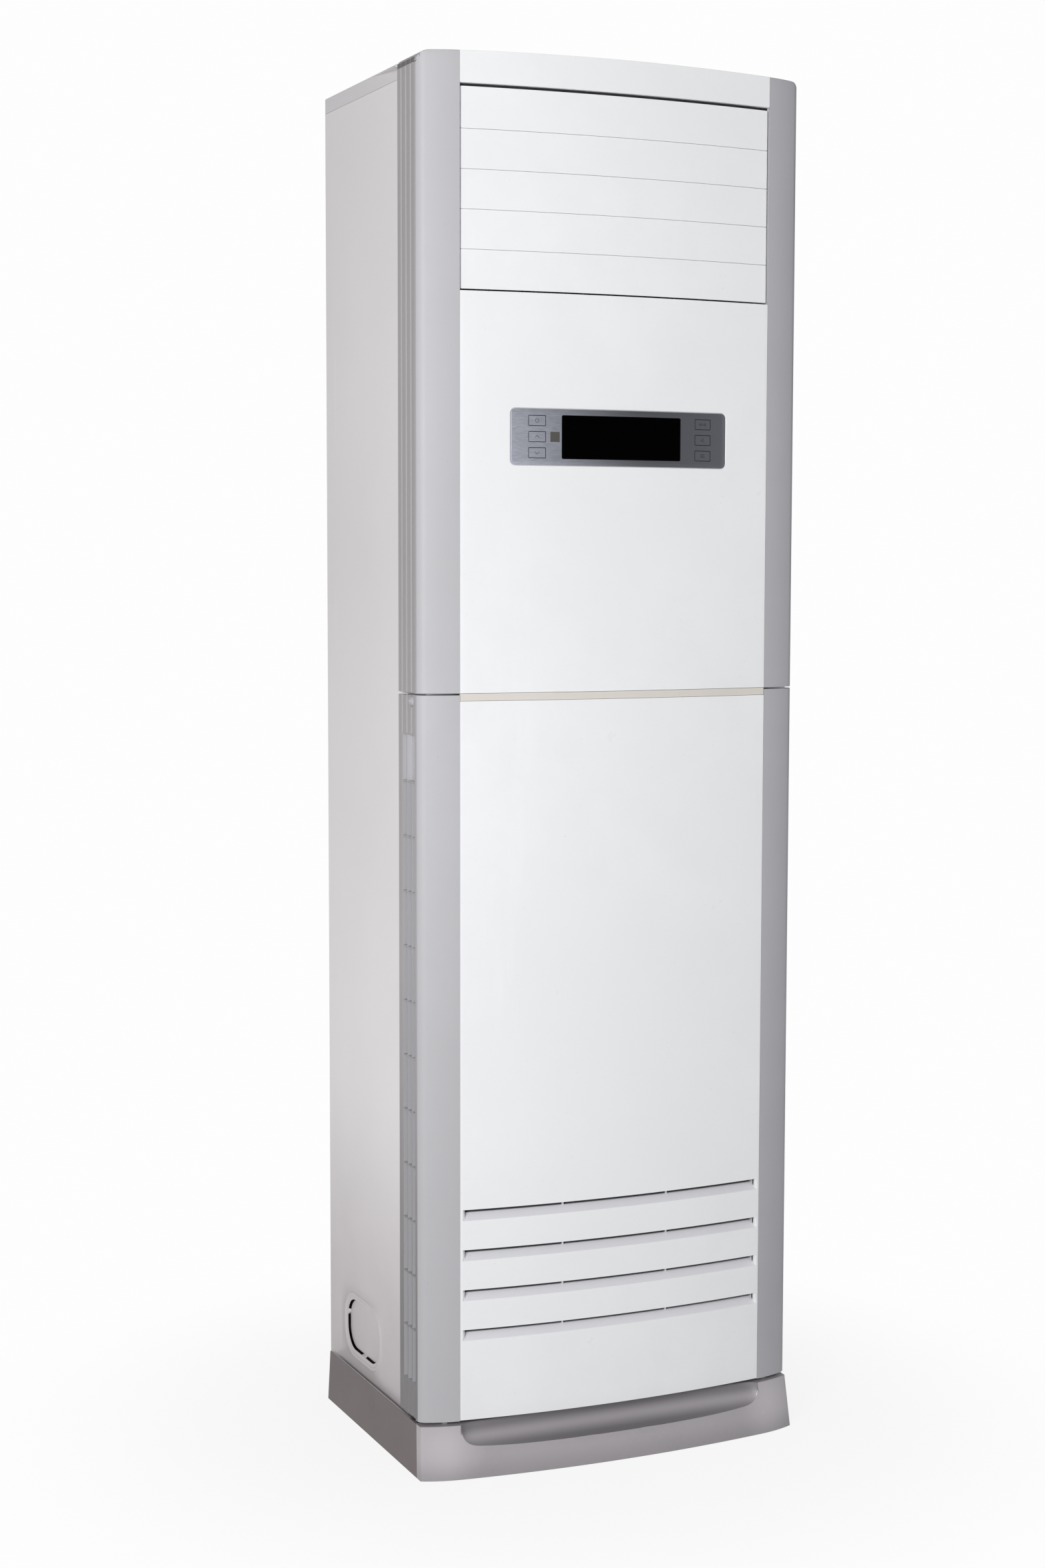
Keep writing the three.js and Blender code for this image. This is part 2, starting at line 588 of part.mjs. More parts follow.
const addPair = (name, rightSolid, look) => {
  add(`right_${name}`, rightSolid, look);
  add(`left_${name}`, mirrored(rightSolid), look);
};

// ---------------------------------------------------------------- Plinth and base pan

// Outline of the plinth at one height: front arcs pushed forward, straight sides to the open rear
function plinthOutline(half, forward, inset, rear) {
  const slide = half - PLINTH_HALF;
  const start = Math.asin((PLINTH_HALF - inset - shoulder.x) / (SHOULDER_R + PLINTH_RIM - inset));
  const right = [
    ...arcLine(bow, inset - PLINTH_RIM, 0, bowEnd, 6),
    ...arcLine(shoulder, inset - PLINTH_RIM, bowEnd, start, 5).slice(1),
  ].map(([x, y]) => [x + slide * x / PLINTH_HALF, y - forward]);
  const left = right.slice(1).map(([x, y]) => [-x, y]).reverse();
  return [[-half + inset, rear], ...left, ...right, [half - inset, rear]];
}

// A solid between two outlines of equal point count
function loft(lower, z0, upper, z1) {
  const flat = extrude(lower, z1 - z0);
  const place = flat.attributes.position;
  for (let i = 0; i < place.count; i++) {
    const nearest = lower.findIndex(([x, y]) =>
      Math.hypot(x - place.getX(i), y - place.getY(i)) < 1e-3);
    const high = place.getZ(i) > (z1 - z0) / 2;
    const [x, y] = high ? upper[nearest] : lower[nearest];
    place.setXYZ(i, x, y, high ? z1 : z0);
  }
  return toSolid(flat);
}

const scoopZ = PANEL_BOTTOM + SCOOP_RISE;

// The scoop under the front: a long hollow with an elliptic section and round lower corners
function plinthScoop(grow) {
  const half = SCOOP_HALF + grow;
  const height = SCOOP_HEIGHT + grow;
  const middle = -FRONT - PLINTH_RIM - SCOOP_SETBACK;
  const section = Array.from({ length: 9 }, (_, i) => i / 8 * Math.PI).map((angle) => [
    middle - (SCOOP_DEPTH + grow) * Math.cos(angle), scoopZ - height * Math.sin(angle)]);
  const mouth = roundRect(-half, half, scoopZ - height, scoopZ + 2 * SCOOP_ROUND, SCOOP_ROUND + grow);
  return prismX(section, -half, half)
    .intersect(prismY(mouth, middle - 2 * SCOOP_DEPTH, middle + 2 * SCOOP_DEPTH));
}

function makePlinth() {
  const floorHalf = PLINTH_HALF + PLINTH_SPREAD;
  const inner = PLINTH_HALF - WALL;
  const skin = loft(plinthOutline(floorHalf, PLINTH_TOE, 0, PLINTH_REAR), 0,
    plinthOutline(PLINTH_HALF, 0, 0, PLINTH_REAR), PLINTH_TOP);
  const inside = loft(plinthOutline(floorHalf, PLINTH_TOE, WALL, PLINTH_REAR + PAST), -PAST,
    plinthOutline(PLINTH_HALF, 0, WALL, PLINTH_REAR + PAST), PLINTH_TOP - WALL);
  const open = block(-inner, inner, PLINTH_DECK, PLINTH_REAR + PAST, -PAST, PLINTH_TOP + PAST);
  const tray = plinthScoop(WALL).intersect(skin);
  const lugOuter = HOOK_INNER_X - LUG_GAP;
  const lug = join(
    block(lugOuter - LUG_WIDTH, lugOuter, HINGE_Y - LUG_HALF, HINGE_Y + LUG_HALF,
      PLINTH_TOP - LAP, HINGE_Z + LUG_HALF),
    rodX(lugOuter - LAP, HOOK_INNER_X + HOOK_WIDTH, HINGE_Y, HINGE_Z, HINGE_PIN_R));
  return join(cut(join(cut(skin, inside), tray), open, plinthScoop(0)), lug, mirrored(lug));
}

function makeBasePan() {
  const half = CABINET_HALF - SHEET - GAP;
  const front = PLINTH_DECK + GAP;
  const rear = BACK - SHEET - GAP;
  const floor = SHEET_BOTTOM - 2 * SHEET;
  const tray = cut(
    block(-half, half, front, rear, floor, PLINTH_TOP - PAN_RIM_DROP),
    block(SHEET - half, half - SHEET, front + SHEET, rear - SHEET, floor + SHEET, PLINTH_TOP));
  const feet = [-1, 1].flatMap((side) => [front + FOOT_SETBACK, rear - FOOT_INSET].map((y) =>
    rodZ(0, floor + SHEET / 2, side * (half - FOOT_INSET), y, FOOT_R, 12)));
  return join(tray, ...feet);
}

add('base_plinth', makePlinth(), PLINTH_GREY);
add('base_pan', makeBasePan(), ZINC);

// ---------------------------------------------------------------- Steel panels and top cover

function knockoutOutline(inset) {
  return roundRect(KNOCKOUT_FRONT + inset, KNOCKOUT_REAR - inset,
    KNOCKOUT_BOTTOM + inset, KNOCKOUT_TOP - inset, KNOCKOUT_ROUND - inset);
}

const ringX = (x0, x1, inset, width) =>
  cut(prismX(knockoutOutline(inset), x0, x1),
    prismX(knockoutOutline(inset + width), x0 - PAST, x1 + PAST));

function makeSidePanel() {
  const top = CABINET_TOP - SKIRT_HEIGHT - GAP;
  const inner = CABINET_HALF - SHEET;
  const flangeRear = BACK - SHEET - GAP;
  const flangeTop = top - 2 * SHEET;
  const flangeBottom = PLINTH_TOP + FLANGE_RISE;
  const flangeInner = CABINET_HALF - FLANGE;
  const sheet = join(
    block(inner, CABINET_HALF, SIDE_FRONT, BACK, SHEET_BOTTOM, top),
    block(flangeInner, inner + SHEET / 2, SIDE_FRONT, SIDE_FRONT + SHEET, flangeBottom, flangeTop),
    block(flangeInner, inner + SHEET / 2, flangeRear - SHEET, flangeRear, flangeBottom, flangeTop),
    ringX(CABINET_HALF - SHEET / 2, CABINET_HALF + BEAD_HEIGHT, 0, BEAD_WIDTH));
  const middleY = (KNOCKOUT_FRONT + KNOCKOUT_REAR) / 2;
  const middleZ = (KNOCKOUT_BOTTOM + KNOCKOUT_TOP) / 2;
  const tabs = join(
    block(inner - 2 * PAST, CABINET_HALF + 2 * PAST, middleY - TAB_WIDTH / 2, middleY + TAB_WIDTH / 2,
      0, CABINET_TOP),
    block(inner - 2 * PAST, CABINET_HALF + 2 * PAST, -BACK, BACK, middleZ - TAB_WIDTH / 2,
      middleZ + TAB_WIDTH / 2));
  return cut(sheet, cut(ringX(inner - PAST, CABINET_HALF + PAST, SLIT_INSET, SLIT_WIDTH), tabs));
}

function makeTopCover() {
  const rear = PILLAR_REAR + GAP;
  const thick = COVER_SHEET;
  const shell = cut(
    block(-CABINET_HALF, CABINET_HALF, rear, BACK, CABINET_TOP - SKIRT_HEIGHT, CABINET_TOP),
    block(thick - CABINET_HALF, CABINET_HALF - thick, rear - PAST, BACK - thick,
      CABINET_TOP - SKIRT_HEIGHT - PAST, CABINET_TOP - thick));
  const tongueHalf = PANEL_HALF - GAP;
  const tongue = prismZ([...bowLine(WALL + GAP, -tongueHalf, tongueHalf),
    [tongueHalf, rear + LAP], [-tongueHalf, rear + LAP]], CABINET_TOP - thick, CABINET_TOP);
  const flareTop = CABINET_TOP - thick;
  const flare = prismZ([[CABINET_HALF - thick / 2, rear + FLARE_LENGTH],
    [CABINET_HALF - thick / 2, rear], [PILLAR_HALF, rear]], flareTop - FLARE_HEIGHT, flareTop);
  return join(shell, tongue, flare, mirrored(flare));
}

addPair('side_panel', makeSidePanel(), PAINTED);
add('rear_panel', block(SHEET + GAP - CABINET_HALF, CABINET_HALF - SHEET - GAP, BACK - SHEET, BACK,
  SHEET_BOTTOM, CABINET_TOP - SKIRT_HEIGHT - GAP), PAINTED);
add('top_cover', makeTopCover(), PAINTED);

// ---------------------------------------------------------------- Pillars

const outerSide = [PILLAR_HALF, PILLAR_REAR];

// The pillar's wall: rounded front, fluted side, and a rear edge that meets the side panel
function pillarSection() {
  const side = PILLAR_HALF - SIDE_WALL;
  const rear = PILLAR_REAR - WALL;
  return [...pillarLine(0), outerSide, [CABINET_HALF + GAP, PILLAR_REAR], [CABINET_HALF + GAP, rear],
    [side, rear], [side, corner.y], ...pillarLine(WALL).reverse()];
}

// What is taken off the pillar's side to leave the flat strip and the flutes
function bandCutter(z0, z1) {
  const flat = PILLAR_HALF - BAND_DEPTH;
  const width = (PILLAR_REAR - STRIP_WIDTH - corner.y) / FLUTE_COUNT;
  const flutes = Array.from({ length: FLUTE_COUNT * 4 + 1 }, (_, i) => [
    flat - FLUTE_DEPTH * Math.abs(Math.sin(i / 4 * Math.PI)), corner.y + width * i / 4]);
  const outside = PILLAR_HALF + PAST;
  return prismZ([[outside, corner.y], ...flutes, [flat, PILLAR_REAR + PAST], [outside, PILLAR_REAR + PAST]],
    z0, z1);
}

function makeUpperPillar() {
  const capBottom = CABINET_TOP - CAP_HEIGHT;
  const shell = prismZ(pillarSection(), UPPER_BOTTOM, CABINET_TOP);
  const cap = prismZ([...pillarLine(0), outerSide, [PANEL_HALF + GAP, PILLAR_REAR]],
    capBottom + WALL, CABINET_TOP + CROWN);
  const fluted = cut(shell, bandCutter(UPPER_BOTTOM - PAST, capBottom));
  return join(fluted, cap).intersect(underTop);
}

// The cells of the side grille: rows of upright openings, with a taller finger grip on top
function grilleCells(x0, x1) {
  const width = (GRILLE_REAR - GRILLE_FRONT) / GRILLE_COLUMNS;
  const half = GRILLE_BAR / 2;
  const cells = [];
  for (let row = 0; row < GRILLE_ROWS; row++) {
    const z = GRILLE_BOTTOM + row * GRILLE_PITCH;
    for (let column = 0; column < GRILLE_COLUMNS; column++) {
      const y = GRILLE_FRONT + column * width;
      cells.push(block(x0, x1, y + half, y + width - half, z + half, z + GRILLE_PITCH - half));
    }
  }
  const gripBottom = GRILLE_BOTTOM + GRILLE_ROWS * GRILLE_PITCH + half;
  const gripTop = gripBottom + GRIP_HEIGHT;
  cells.push(block(x0, x1, GRILLE_FRONT + half, GRILLE_REAR - width - half, gripBottom, gripTop));
  cells.push(block(x0, x1, GRILLE_REAR - width + half, GRILLE_REAR - half, gripBottom, gripTop));
  return cells;
}

const grilleTop = GRILLE_BOTTOM + GRILLE_ROWS * GRILLE_PITCH + GRIP_HEIGHT;

function makeLowerPillar() {
  const shell = cut(prismZ(pillarSection(), PILLAR_BOTTOM, LOWER_PILLAR_TOP),
    bandCutter(PILLAR_BOTTOM - PAST, LOWER_PILLAR_TOP + PAST));
  const core = PILLAR_HALF - SIDE_WALL + LAP;
  const grille = block(GRILLE_INNER_X, PILLAR_HALF - BAND_DEPTH, GRILLE_FRONT - GRILLE_FRAME / 2,
    GRILLE_REAR + GRILLE_FRAME / 2, GRILLE_BOTTOM - GRILLE_FRAME, grilleTop + GRILLE_FRAME);
  const screwBoss = block(BOSS_INNER_X, core, SCREW_Y - BOSS_HALF, SCREW_Y + BOSS_HALF,
    SCREW_Z - BOSS_HALF, LOWER_PILLAR_TOP);
  const seat = BOSS_INNER_X + BOSS_FLOOR;
  const recess = prismX(roundRect(SCREW_Y - SCREW_RECESS_HALF, SCREW_Y + SCREW_RECESS_HALF,
    SCREW_Z - SCREW_RECESS_RISE, SCREW_Z + SCREW_RECESS_RISE, SCREW_RECESS_HALF), seat, PILLAR_HALF + PAST);
  const screwHole = rodX(BOSS_INNER_X - PAST, seat + PAST, SCREW_Y, SCREW_Z, SCREW_SHANK_R + PIN_PLAY);
  const bore = HINGE_PIN_R + PIN_PLAY;
  const hookTop = HINGE_Z + HOOK_HALF + PAST;
  const hookOuter = HOOK_INNER_X + HOOK_WIDTH;
  const body = prismZ([...pillarLine(WALL / 3), outerSide, [PANEL_HALF + GAP, PILLAR_REAR]],
    HINGE_Z - HOOK_HALF + PAST, hookTop);
  const hook = cut(
    body.intersect(block(HOOK_INNER_X, hookOuter, -FRONT, HINGE_Y + HOOK_HALF, PILLAR_BOTTOM, hookTop)),
    rodX(HOOK_INNER_X - PAST, hookOuter + PAST, HINGE_Y, HINGE_Z, bore),
    block(HOOK_INNER_X - PAST, hookOuter + PAST, HINGE_Y - bore, HINGE_Y + bore,
      HINGE_Z - 2 * HOOK_HALF, HINGE_Z));
  return cut(join(shell, grille, screwBoss, hook), recess, screwHole,
    ...grilleCells(GRILLE_INNER_X - PAST, PILLAR_HALF + PAST));
}

addPair('upper_pillar', makeUpperPillar(), GREY);
addPair('lower_pillar', makeLowerPillar(), GREY);

const screwSeat = BOSS_INNER_X + BOSS_FLOOR + GAP;
addPair('panel_screw', join(
  rodX(screwSeat, screwSeat + SCREW_HEAD, SCREW_Y, SCREW_Z, SCREW_HEAD_R, 12),
  rodX(CABINET_HALF - SHEET, screwSeat + LAP, SCREW_Y, SCREW_Z, SCREW_SHANK_R)), ZINC);

// Side filters: a frame with cross bars behind each grille
function makeSideFilter() {
  const outer = GRILLE_INNER_X - GAP;
  const inner = outer - SIDE_FILTER_THICK;
  const frame = block(inner, outer, GRILLE_FRONT - WALL, GRILLE_REAR + WALL,
    GRILLE_BOTTOM - WALL, grilleTop + WALL);
  const panes = Array.from({ length: GRILLE_ROWS }, (_, row) => {
    const z = GRILLE_BOTTOM + row * GRILLE_PITCH;
    return block(inner + FILTER_FLOOR, outer + PAST, GRILLE_FRONT + FILTER_BAR / 3,
      GRILLE_REAR - FILTER_BAR / 3, z + FILTER_BAR / 3, z + GRILLE_PITCH - FILTER_BAR / 3);
  });
  return cut(frame, ...panes);
}

addPair('side_filter', makeSideFilter(), MESH);

// ---------------------------------------------------------------- Upper front panel

const railInner = PANEL_HALF + RAIL_STEP;
const railOuter = railInner + RAIL_WIDTH;
const louvreZ = Array.from({ length: LOUVRE_COUNT }, (_, i) =>
  OUTLET_TOP - LOUVRE_TOP_GAP - (i + 0.5) * LOUVRE_PITCH);

// Where the white wall steps back behind the pillar's edge, on the right
function joggle(z0, z1, reach) {
  return join(
    block(PANEL_HALF - JOGGLE, PANEL_HALF - GAP / 2, RAIL_FRONT - WALL + LAP, RAIL_FRONT + WALL, z0, z1),
    block(PANEL_HALF - JOGGLE, reach, RAIL_FRONT, RAIL_FRONT + WALL, z0, z1));
}

function makeUpperFrontPanel() {
  const face = bowSlab(-PANEL_HALF, PANEL_HALF, UPPER_BOTTOM + GAP, OUTLET_BOTTOM, 0, WALL);
  const fascia = bowSlab(-PANEL_HALF, PANEL_HALF, OUTLET_TOP, CABINET_TOP + CROWN + PAST, 0, WALL);
  const soffit = prismZ([...bowLine(0, -PANEL_HALF, PANEL_HALF), [PANEL_HALF, RAIL_REAR],
    [-PANEL_HALF, RAIL_REAR]], OUTLET_TOP, OUTLET_TOP + WALL);
  const rail = block(railInner, railOuter, RAIL_FRONT, RAIL_REAR, UPPER_BOTTOM + GAP, RAIL_TOP);
  const right = join(rail, joggle(UPPER_BOTTOM + GAP, OUTLET_BOTTOM, railOuter),
    joggle(OUTLET_TOP, RAIL_TOP, railOuter));
  const pinHoles = louvreZ.map((z) =>
    rodX(-railOuter - PAST, railOuter + PAST, LOUVRE_AXIS_Y, z, LOUVRE_PIN_R + PIN_PLAY));
  const recessDepth = PLATE_THICK - PLATE_PROUD + GAP;
  const recess = bowSlab(-PLATE_HALF - GAP, PLATE_HALF + GAP, PLATE_BOTTOM - GAP, PLATE_TOP + GAP,
    -PAST, recessDepth);
  const cutout = block(-CUTOUT_HALF, CUTOUT_HALF, -FRONT - PAST, BOARD_FRONT,
    PLATE_BOTTOM + CUTOUT_LIP, PLATE_TOP - CUTOUT_LIP);
  const bossX = CUTOUT_HALF + 2 * BOSS_R;
  const bossFront = bowY(recessDepth + GAP, bossX + BOSS_R);
  const bosses = [-1, 1].flatMap((side) => [PLATE_BOTTOM + BOSS_LIP, PLATE_TOP - BOSS_LIP].map((z) =>
    rodY(bossFront, BOARD_FRONT - GAP, side * bossX, z, BOSS_R)));
  return join(cut(face, recess, cutout), fascia, soffit, cut(right, ...pinHoles),
    cut(mirrored(right), ...pinHoles), ...bosses).intersect(underTop);
}

add('upper_front_panel', makeUpperFrontPanel(), WHITE);

// ---------------------------------------------------------------- Controls

const keyRows = [1, 0, -1].map((row) => CONTROL_CENTRE + row * KEY_PITCH);
const keyNames = [['key_power', 'key_up', 'key_down'], ['key_mode', 'key_fan', 'key_function']];
const keySides = [-KEY_X, KEY_X];

// A rectangular opening through the control plate
function plateHole(x, width, z, height) {
  return block(x - width / 2 - GAP, x + width / 2 + GAP, -FRONT - PAST, BOARD_FRONT,
    z - height / 2 - GAP, z + height / 2 + GAP);
}

function makeControlPlate() {
  const plate = bowSlab(-PLATE_HALF, PLATE_HALF, PLATE_BOTTOM, PLATE_TOP,
    -PLATE_PROUD, PLATE_THICK - PLATE_PROUD);
  const outline = roundRect(-PLATE_HALF, PLATE_HALF, PLATE_BOTTOM, PLATE_TOP, PLATE_ROUND);
  const keyHoles = keySides.flatMap((x) => keyRows.map((z) => plateHole(x, KEY_WIDTH, z, KEY_HEIGHT)));
  return cut(plate.intersect(prismY(outline, -FRONT - PAST, FACE_END)), ...keyHoles,
    plateHole(0, 2 * WINDOW_HALF, CONTROL_CENTRE, WINDOW_HEIGHT),
    plateHole(RECEIVER_X, RECEIVER_SIDE, CONTROL_CENTRE, RECEIVER_SIDE));
}

// A flush piece that fills one opening of the plate
function plateFiller(x, width, z, height, thick, steps = 2) {
  return bowSlab(x - width / 2, x + width / 2, z - height / 2, z + height / 2,
    -PLATE_PROUD, thick - PLATE_PROUD, steps);
}

function makeKey(x, z) {
  const stemEnd = BOARD_FRONT - KEY_TRAVEL - GAP;
  return join(plateFiller(x, KEY_WIDTH, z, KEY_HEIGHT, KEY_THICK),
    rodY(bowY(KEY_THICK, x) - PAST, stemEnd, x, z, KEY_STEM_R));
}

add('control_plate', makeControlPlate(), BRUSHED);
add('display_window', plateFiller(0, 2 * WINDOW_HALF, CONTROL_CENTRE, WINDOW_HEIGHT, WINDOW_THICK, 6),
  BLACK);
add('receiver_window', plateFiller(RECEIVER_X, RECEIVER_SIDE, CONTROL_CENTRE, RECEIVER_SIDE,
  WINDOW_THICK), DARK);
add('display_board', block(-BOARD_HALF, BOARD_HALF, BOARD_FRONT, BOARD_FRONT + BOARD_THICK,
  PLATE_BOTTOM + BOARD_LIP, PLATE_TOP - BOARD_LIP), BOARD);
keySides.forEach((x, side) => keyRows.forEach((z, row) =>
  add(keyNames[side][row], makeKey(x, z), BRUSHED)));

// ---------------------------------------------------------------- Louvres

const louvreEnd = PANEL_HALF - LOUVRE_END_GAP;
const crankInner = railOuter + CRANK_GAP;
const linkInner = crankInner + LINK_THICK + LINK_GAP;
const linkOuter = linkInner + LINK_THICK;

function makeLouvre(z, drives) {
  const half = (LOUVRE_PITCH - LOUVRE_SPLIT) / 2;
  const blade = bowSlab(-louvreEnd, louvreEnd, z - half, z + half, LOUVRE_RECESS,
    LOUVRE_RECESS + LOUVRE_THICK);
  const endY = bowY(LOUVRE_RECESS, louvreEnd);
  const earR = LOUVRE_PIN_R + PIN_RIM;
  const ear = prismX([[endY + LAP, z - half / 2], [LOUVRE_AXIS_Y + earR / 2, z - earR],
    [LOUVRE_AXIS_Y + earR, z], [LOUVRE_AXIS_Y + earR / 2, z + earR],
    [endY + LAP, z + half / 2]], louvreEnd - EAR_WIDTH, louvreEnd);
  const rightReach = drives ? railOuter + MOTOR_BORE : railOuter - GAP;
  const rightPin = rodX(louvreEnd - LAP, rightReach, LOUVRE_AXIS_Y, z, LOUVRE_PIN_R);
  const leftPin = rodX(-crankInner - LAP, LAP - louvreEnd, LOUVRE_AXIS_Y, z, LOUVRE_PIN_R);
  const arm = block(-crankInner - LINK_THICK, -crankInner, LOUVRE_AXIS_Y - CRANK_HALF,
    LOUVRE_AXIS_Y + CRANK_REACH + CRANK_HALF, z - CRANK_HALF, z + CRANK_HALF);
  const crankPin = rodX(-linkOuter - PAST, -crankInner - LAP, LOUVRE_AXIS_Y + CRANK_REACH, z, CRANK_PIN_R);
  return join(blade, ear, mirrored(ear), rightPin, leftPin, arm, crankPin);
}

louvreZ.forEach((z, i) => add(`louvre_${i + 1}`, makeLouvre(z, i === DRIVE_LOUVRE), WHITE));

const linkY = LOUVRE_AXIS_Y + CRANK_REACH;
add('louvre_link', cut(
  block(-linkOuter, -linkInner, linkY - LINK_WIDTH / 2, linkY + LINK_WIDTH / 2,
    louvreZ.at(-1) - LINK_END, louvreZ[0] + LINK_END),
  ...louvreZ.map((z) => rodX(-linkOuter - PAST, PAST - linkInner, linkY, z, CRANK_PIN_R + PIN_PLAY))),
DARK);

const driveZ = louvreZ[DRIVE_LOUVRE];
const motorFace = railOuter + GAP;
add('louvre_motor', cut(
  join(rodX(motorFace, motorFace + MOTOR_LENGTH, LOUVRE_AXIS_Y + MOTOR_OFFSET, driveZ, MOTOR_R, 16),
    block(motorFace, motorFace + MOTOR_EAR_THICK, LOUVRE_AXIS_Y + MOTOR_OFFSET - MOTOR_EAR_HALF,
      LOUVRE_AXIS_Y + MOTOR_OFFSET + MOTOR_EAR_HALF, driveZ - MOTOR_EAR, driveZ + MOTOR_EAR)),
  rodX(motorFace - PAST, railOuter + MOTOR_BORE + GAP, LOUVRE_AXIS_Y, driveZ, LOUVRE_PIN_R + PIN_PLAY)),
ZINC);

// ---------------------------------------------------------------- Outlet duct and vanes

const ductFloor = OUTLET_BOTTOM - DUCT_MARGIN;
const ductCeiling = OUTLET_TOP + DUCT_RISE;
const vaneX = Array.from({ length: VANE_COUNT }, (_, i) => (i - (VANE_COUNT - 1) / 2) * VANE_PITCH);

// Side view of the duct's outside or, with a wall of 0, of the air's way through it
function ductOutline(wall, front, bottom) {
  const bend = Array.from({ length: 6 }, (_, i) => i / 5 * Math.PI / 2).map((angle) => [
    DUCT_REAR - DUCT_ROUND + (DUCT_ROUND + wall) * Math.cos(angle),
    ductCeiling - DUCT_ROUND + (DUCT_ROUND + wall) * Math.sin(angle),
  ]);
  return [[front, ductFloor - wall], [VANE_REAR - wall, ductFloor - wall],
    [VANE_REAR - wall, bottom], [DUCT_REAR + wall, bottom], ...bend, [front, ductCeiling + wall]];
}

function makeDuct() {
  const half = PANEL_HALF;
  const body = cut(prismX(ductOutline(WALL, DUCT_FRONT, DUCT_BOTTOM), -half, half),
    prismX(ductOutline(0, DUCT_FRONT - PAST, DUCT_BOTTOM - PAST), WALL - half, half - WALL));
  const tab = join(
    block(half - WALL / 2, railOuter, DUCT_FRONT, DUCT_FRONT + DUCT_TAB,
      ductFloor - WALL, ductCeiling + WALL),
    block(half + LAP, railOuter, RAIL_REAR + GAP, DUCT_FRONT + DUCT_TAB,
      ductFloor - WALL, ductCeiling + WALL));
  const pinHoles = vaneX.map((x) => rodZ(ductFloor - WALL - PAST, ductCeiling + WALL + PAST, x, VANE_AXIS_Y,
    VANE_PIN_R + PIN_PLAY));
  return cut(join(body, tab, mirrored(tab)), ...pinHoles);
}

const vaneBottom = ductFloor + VANE_END_GAP;
const vaneTop = ductCeiling - VANE_END_GAP;
const notchBottom = vaneBottom + NOTCH_RISE;
const vaneCrankY = VANE_AXIS_Y + VANE_CRANK;

function makeVane(x, drives) {
  const blade = cut(
    block(x - VANE_THICK / 2, x + VANE_THICK / 2, VANE_FRONT, VANE_REAR, vaneBottom, vaneTop),
    block(x - VANE_THICK, x + VANE_THICK, VANE_REAR - NOTCH_DEPTH, VANE_REAR + PAST,
      notchBottom, notchBottom + NOTCH_HEIGHT));
  const reach = drives ? MOTOR_BORE : -GAP;
  return join(blade,
    rodZ(ductFloor - WALL - reach, vaneBottom + LAP, x, VANE_AXIS_Y, VANE_PIN_R),
    rodZ(vaneTop - LAP, ductCeiling + WALL - GAP, x, VANE_AXIS_Y, VANE_PIN_R),
    rodZ(notchBottom - LAP, notchBottom + NOTCH_HEIGHT + LAP, x, vaneCrankY, CRANK_PIN_R));
}

add('outlet_duct', makeDuct(), FOAM);
vaneX.forEach((x, i) => add(`vane_${i + 1}`, makeVane(x, i === 0), DARK));

const vaneLinkZ = notchBottom + (NOTCH_HEIGHT - VANE_LINK_HEIGHT) / 2;
add('vane_link', cut(
  block(vaneX[0] - VANE_LINK_END, vaneX.at(-1) + VANE_LINK_END, vaneCrankY - VANE_LINK_HALF,
    vaneCrankY + VANE_LINK_HALF, vaneLinkZ, vaneLinkZ + VANE_LINK_HEIGHT),
  ...vaneX.map((x) => rodZ(vaneLinkZ - PAST, vaneLinkZ + VANE_LINK_HEIGHT + PAST, x, vaneCrankY,
    CRANK_PIN_R + PIN_PLAY))), DARK);

const vaneMotorTop = ductFloor - WALL - GAP;
add('vane_motor', cut(
  rodZ(vaneMotorTop - MOTOR_LENGTH, vaneMotorTop, vaneX[0] + MOTOR_OFFSET, VANE_AXIS_Y, MOTOR_R, 16),
  rodZ(ductFloor - WALL - MOTOR_BORE - GAP, vaneMotorTop + PAST, vaneX[0], VANE_AXIS_Y,
    VANE_PIN_R + PIN_PLAY)), ZINC);

// ---------------------------------------------------------------- Seam, lower front panel

const insideHalf = CABINET_HALF - SHEET - GAP;

// A channel across the cabinet; its ends reach back to the side panels' front flanges
function makeBeam() {
  const inner = insideHalf - BEAM_SHEET;
  const channel = cut(
    block(-insideHalf, insideHalf, BEAM_FRONT, BEAM_REAR, BEAM_BOTTOM, UPPER_BOTTOM),
    block(-inner, inner, BEAM_FRONT + BEAM_SHEET, BEAM_REAR + PAST,
      BEAM_BOTTOM + BEAM_SHEET, UPPER_BOTTOM - BEAM_SHEET));
  const end = block(inner, insideHalf, BEAM_REAR - LAP, SIDE_FRONT - GAP, BEAM_BOTTOM, UPPER_BOTTOM);
  return join(channel, end, mirrored(end));
}

function makeTrim() {
  const half = PANEL_HALF - GAP;
  const strip = bowSlab(-half, half, LOWER_PANEL_TOP + GAP, UPPER_BOTTOM, TRIM_INSET,
    TRIM_INSET + TRIM_THICK);
  const clips = [-CLIP_X, 0, CLIP_X].map((x) => block(x - CLIP_HALF, x + CLIP_HALF,
    bowY(TRIM_INSET + TRIM_THICK / 2, Math.abs(x) + CLIP_HALF), BEAM_FRONT - GAP,
    LOWER_PANEL_TOP + CLIP_MARGIN, UPPER_BOTTOM - CLIP_MARGIN));
  return join(strip, ...clips);
}

add('cross_beam', makeBeam(), ZINC);
add('trim_strip', makeTrim(), CREAM);

const slotTops = Array.from({ length: SLOT_COUNT }, (_, i) => SLOT_TOP - i * SLOT_PITCH);

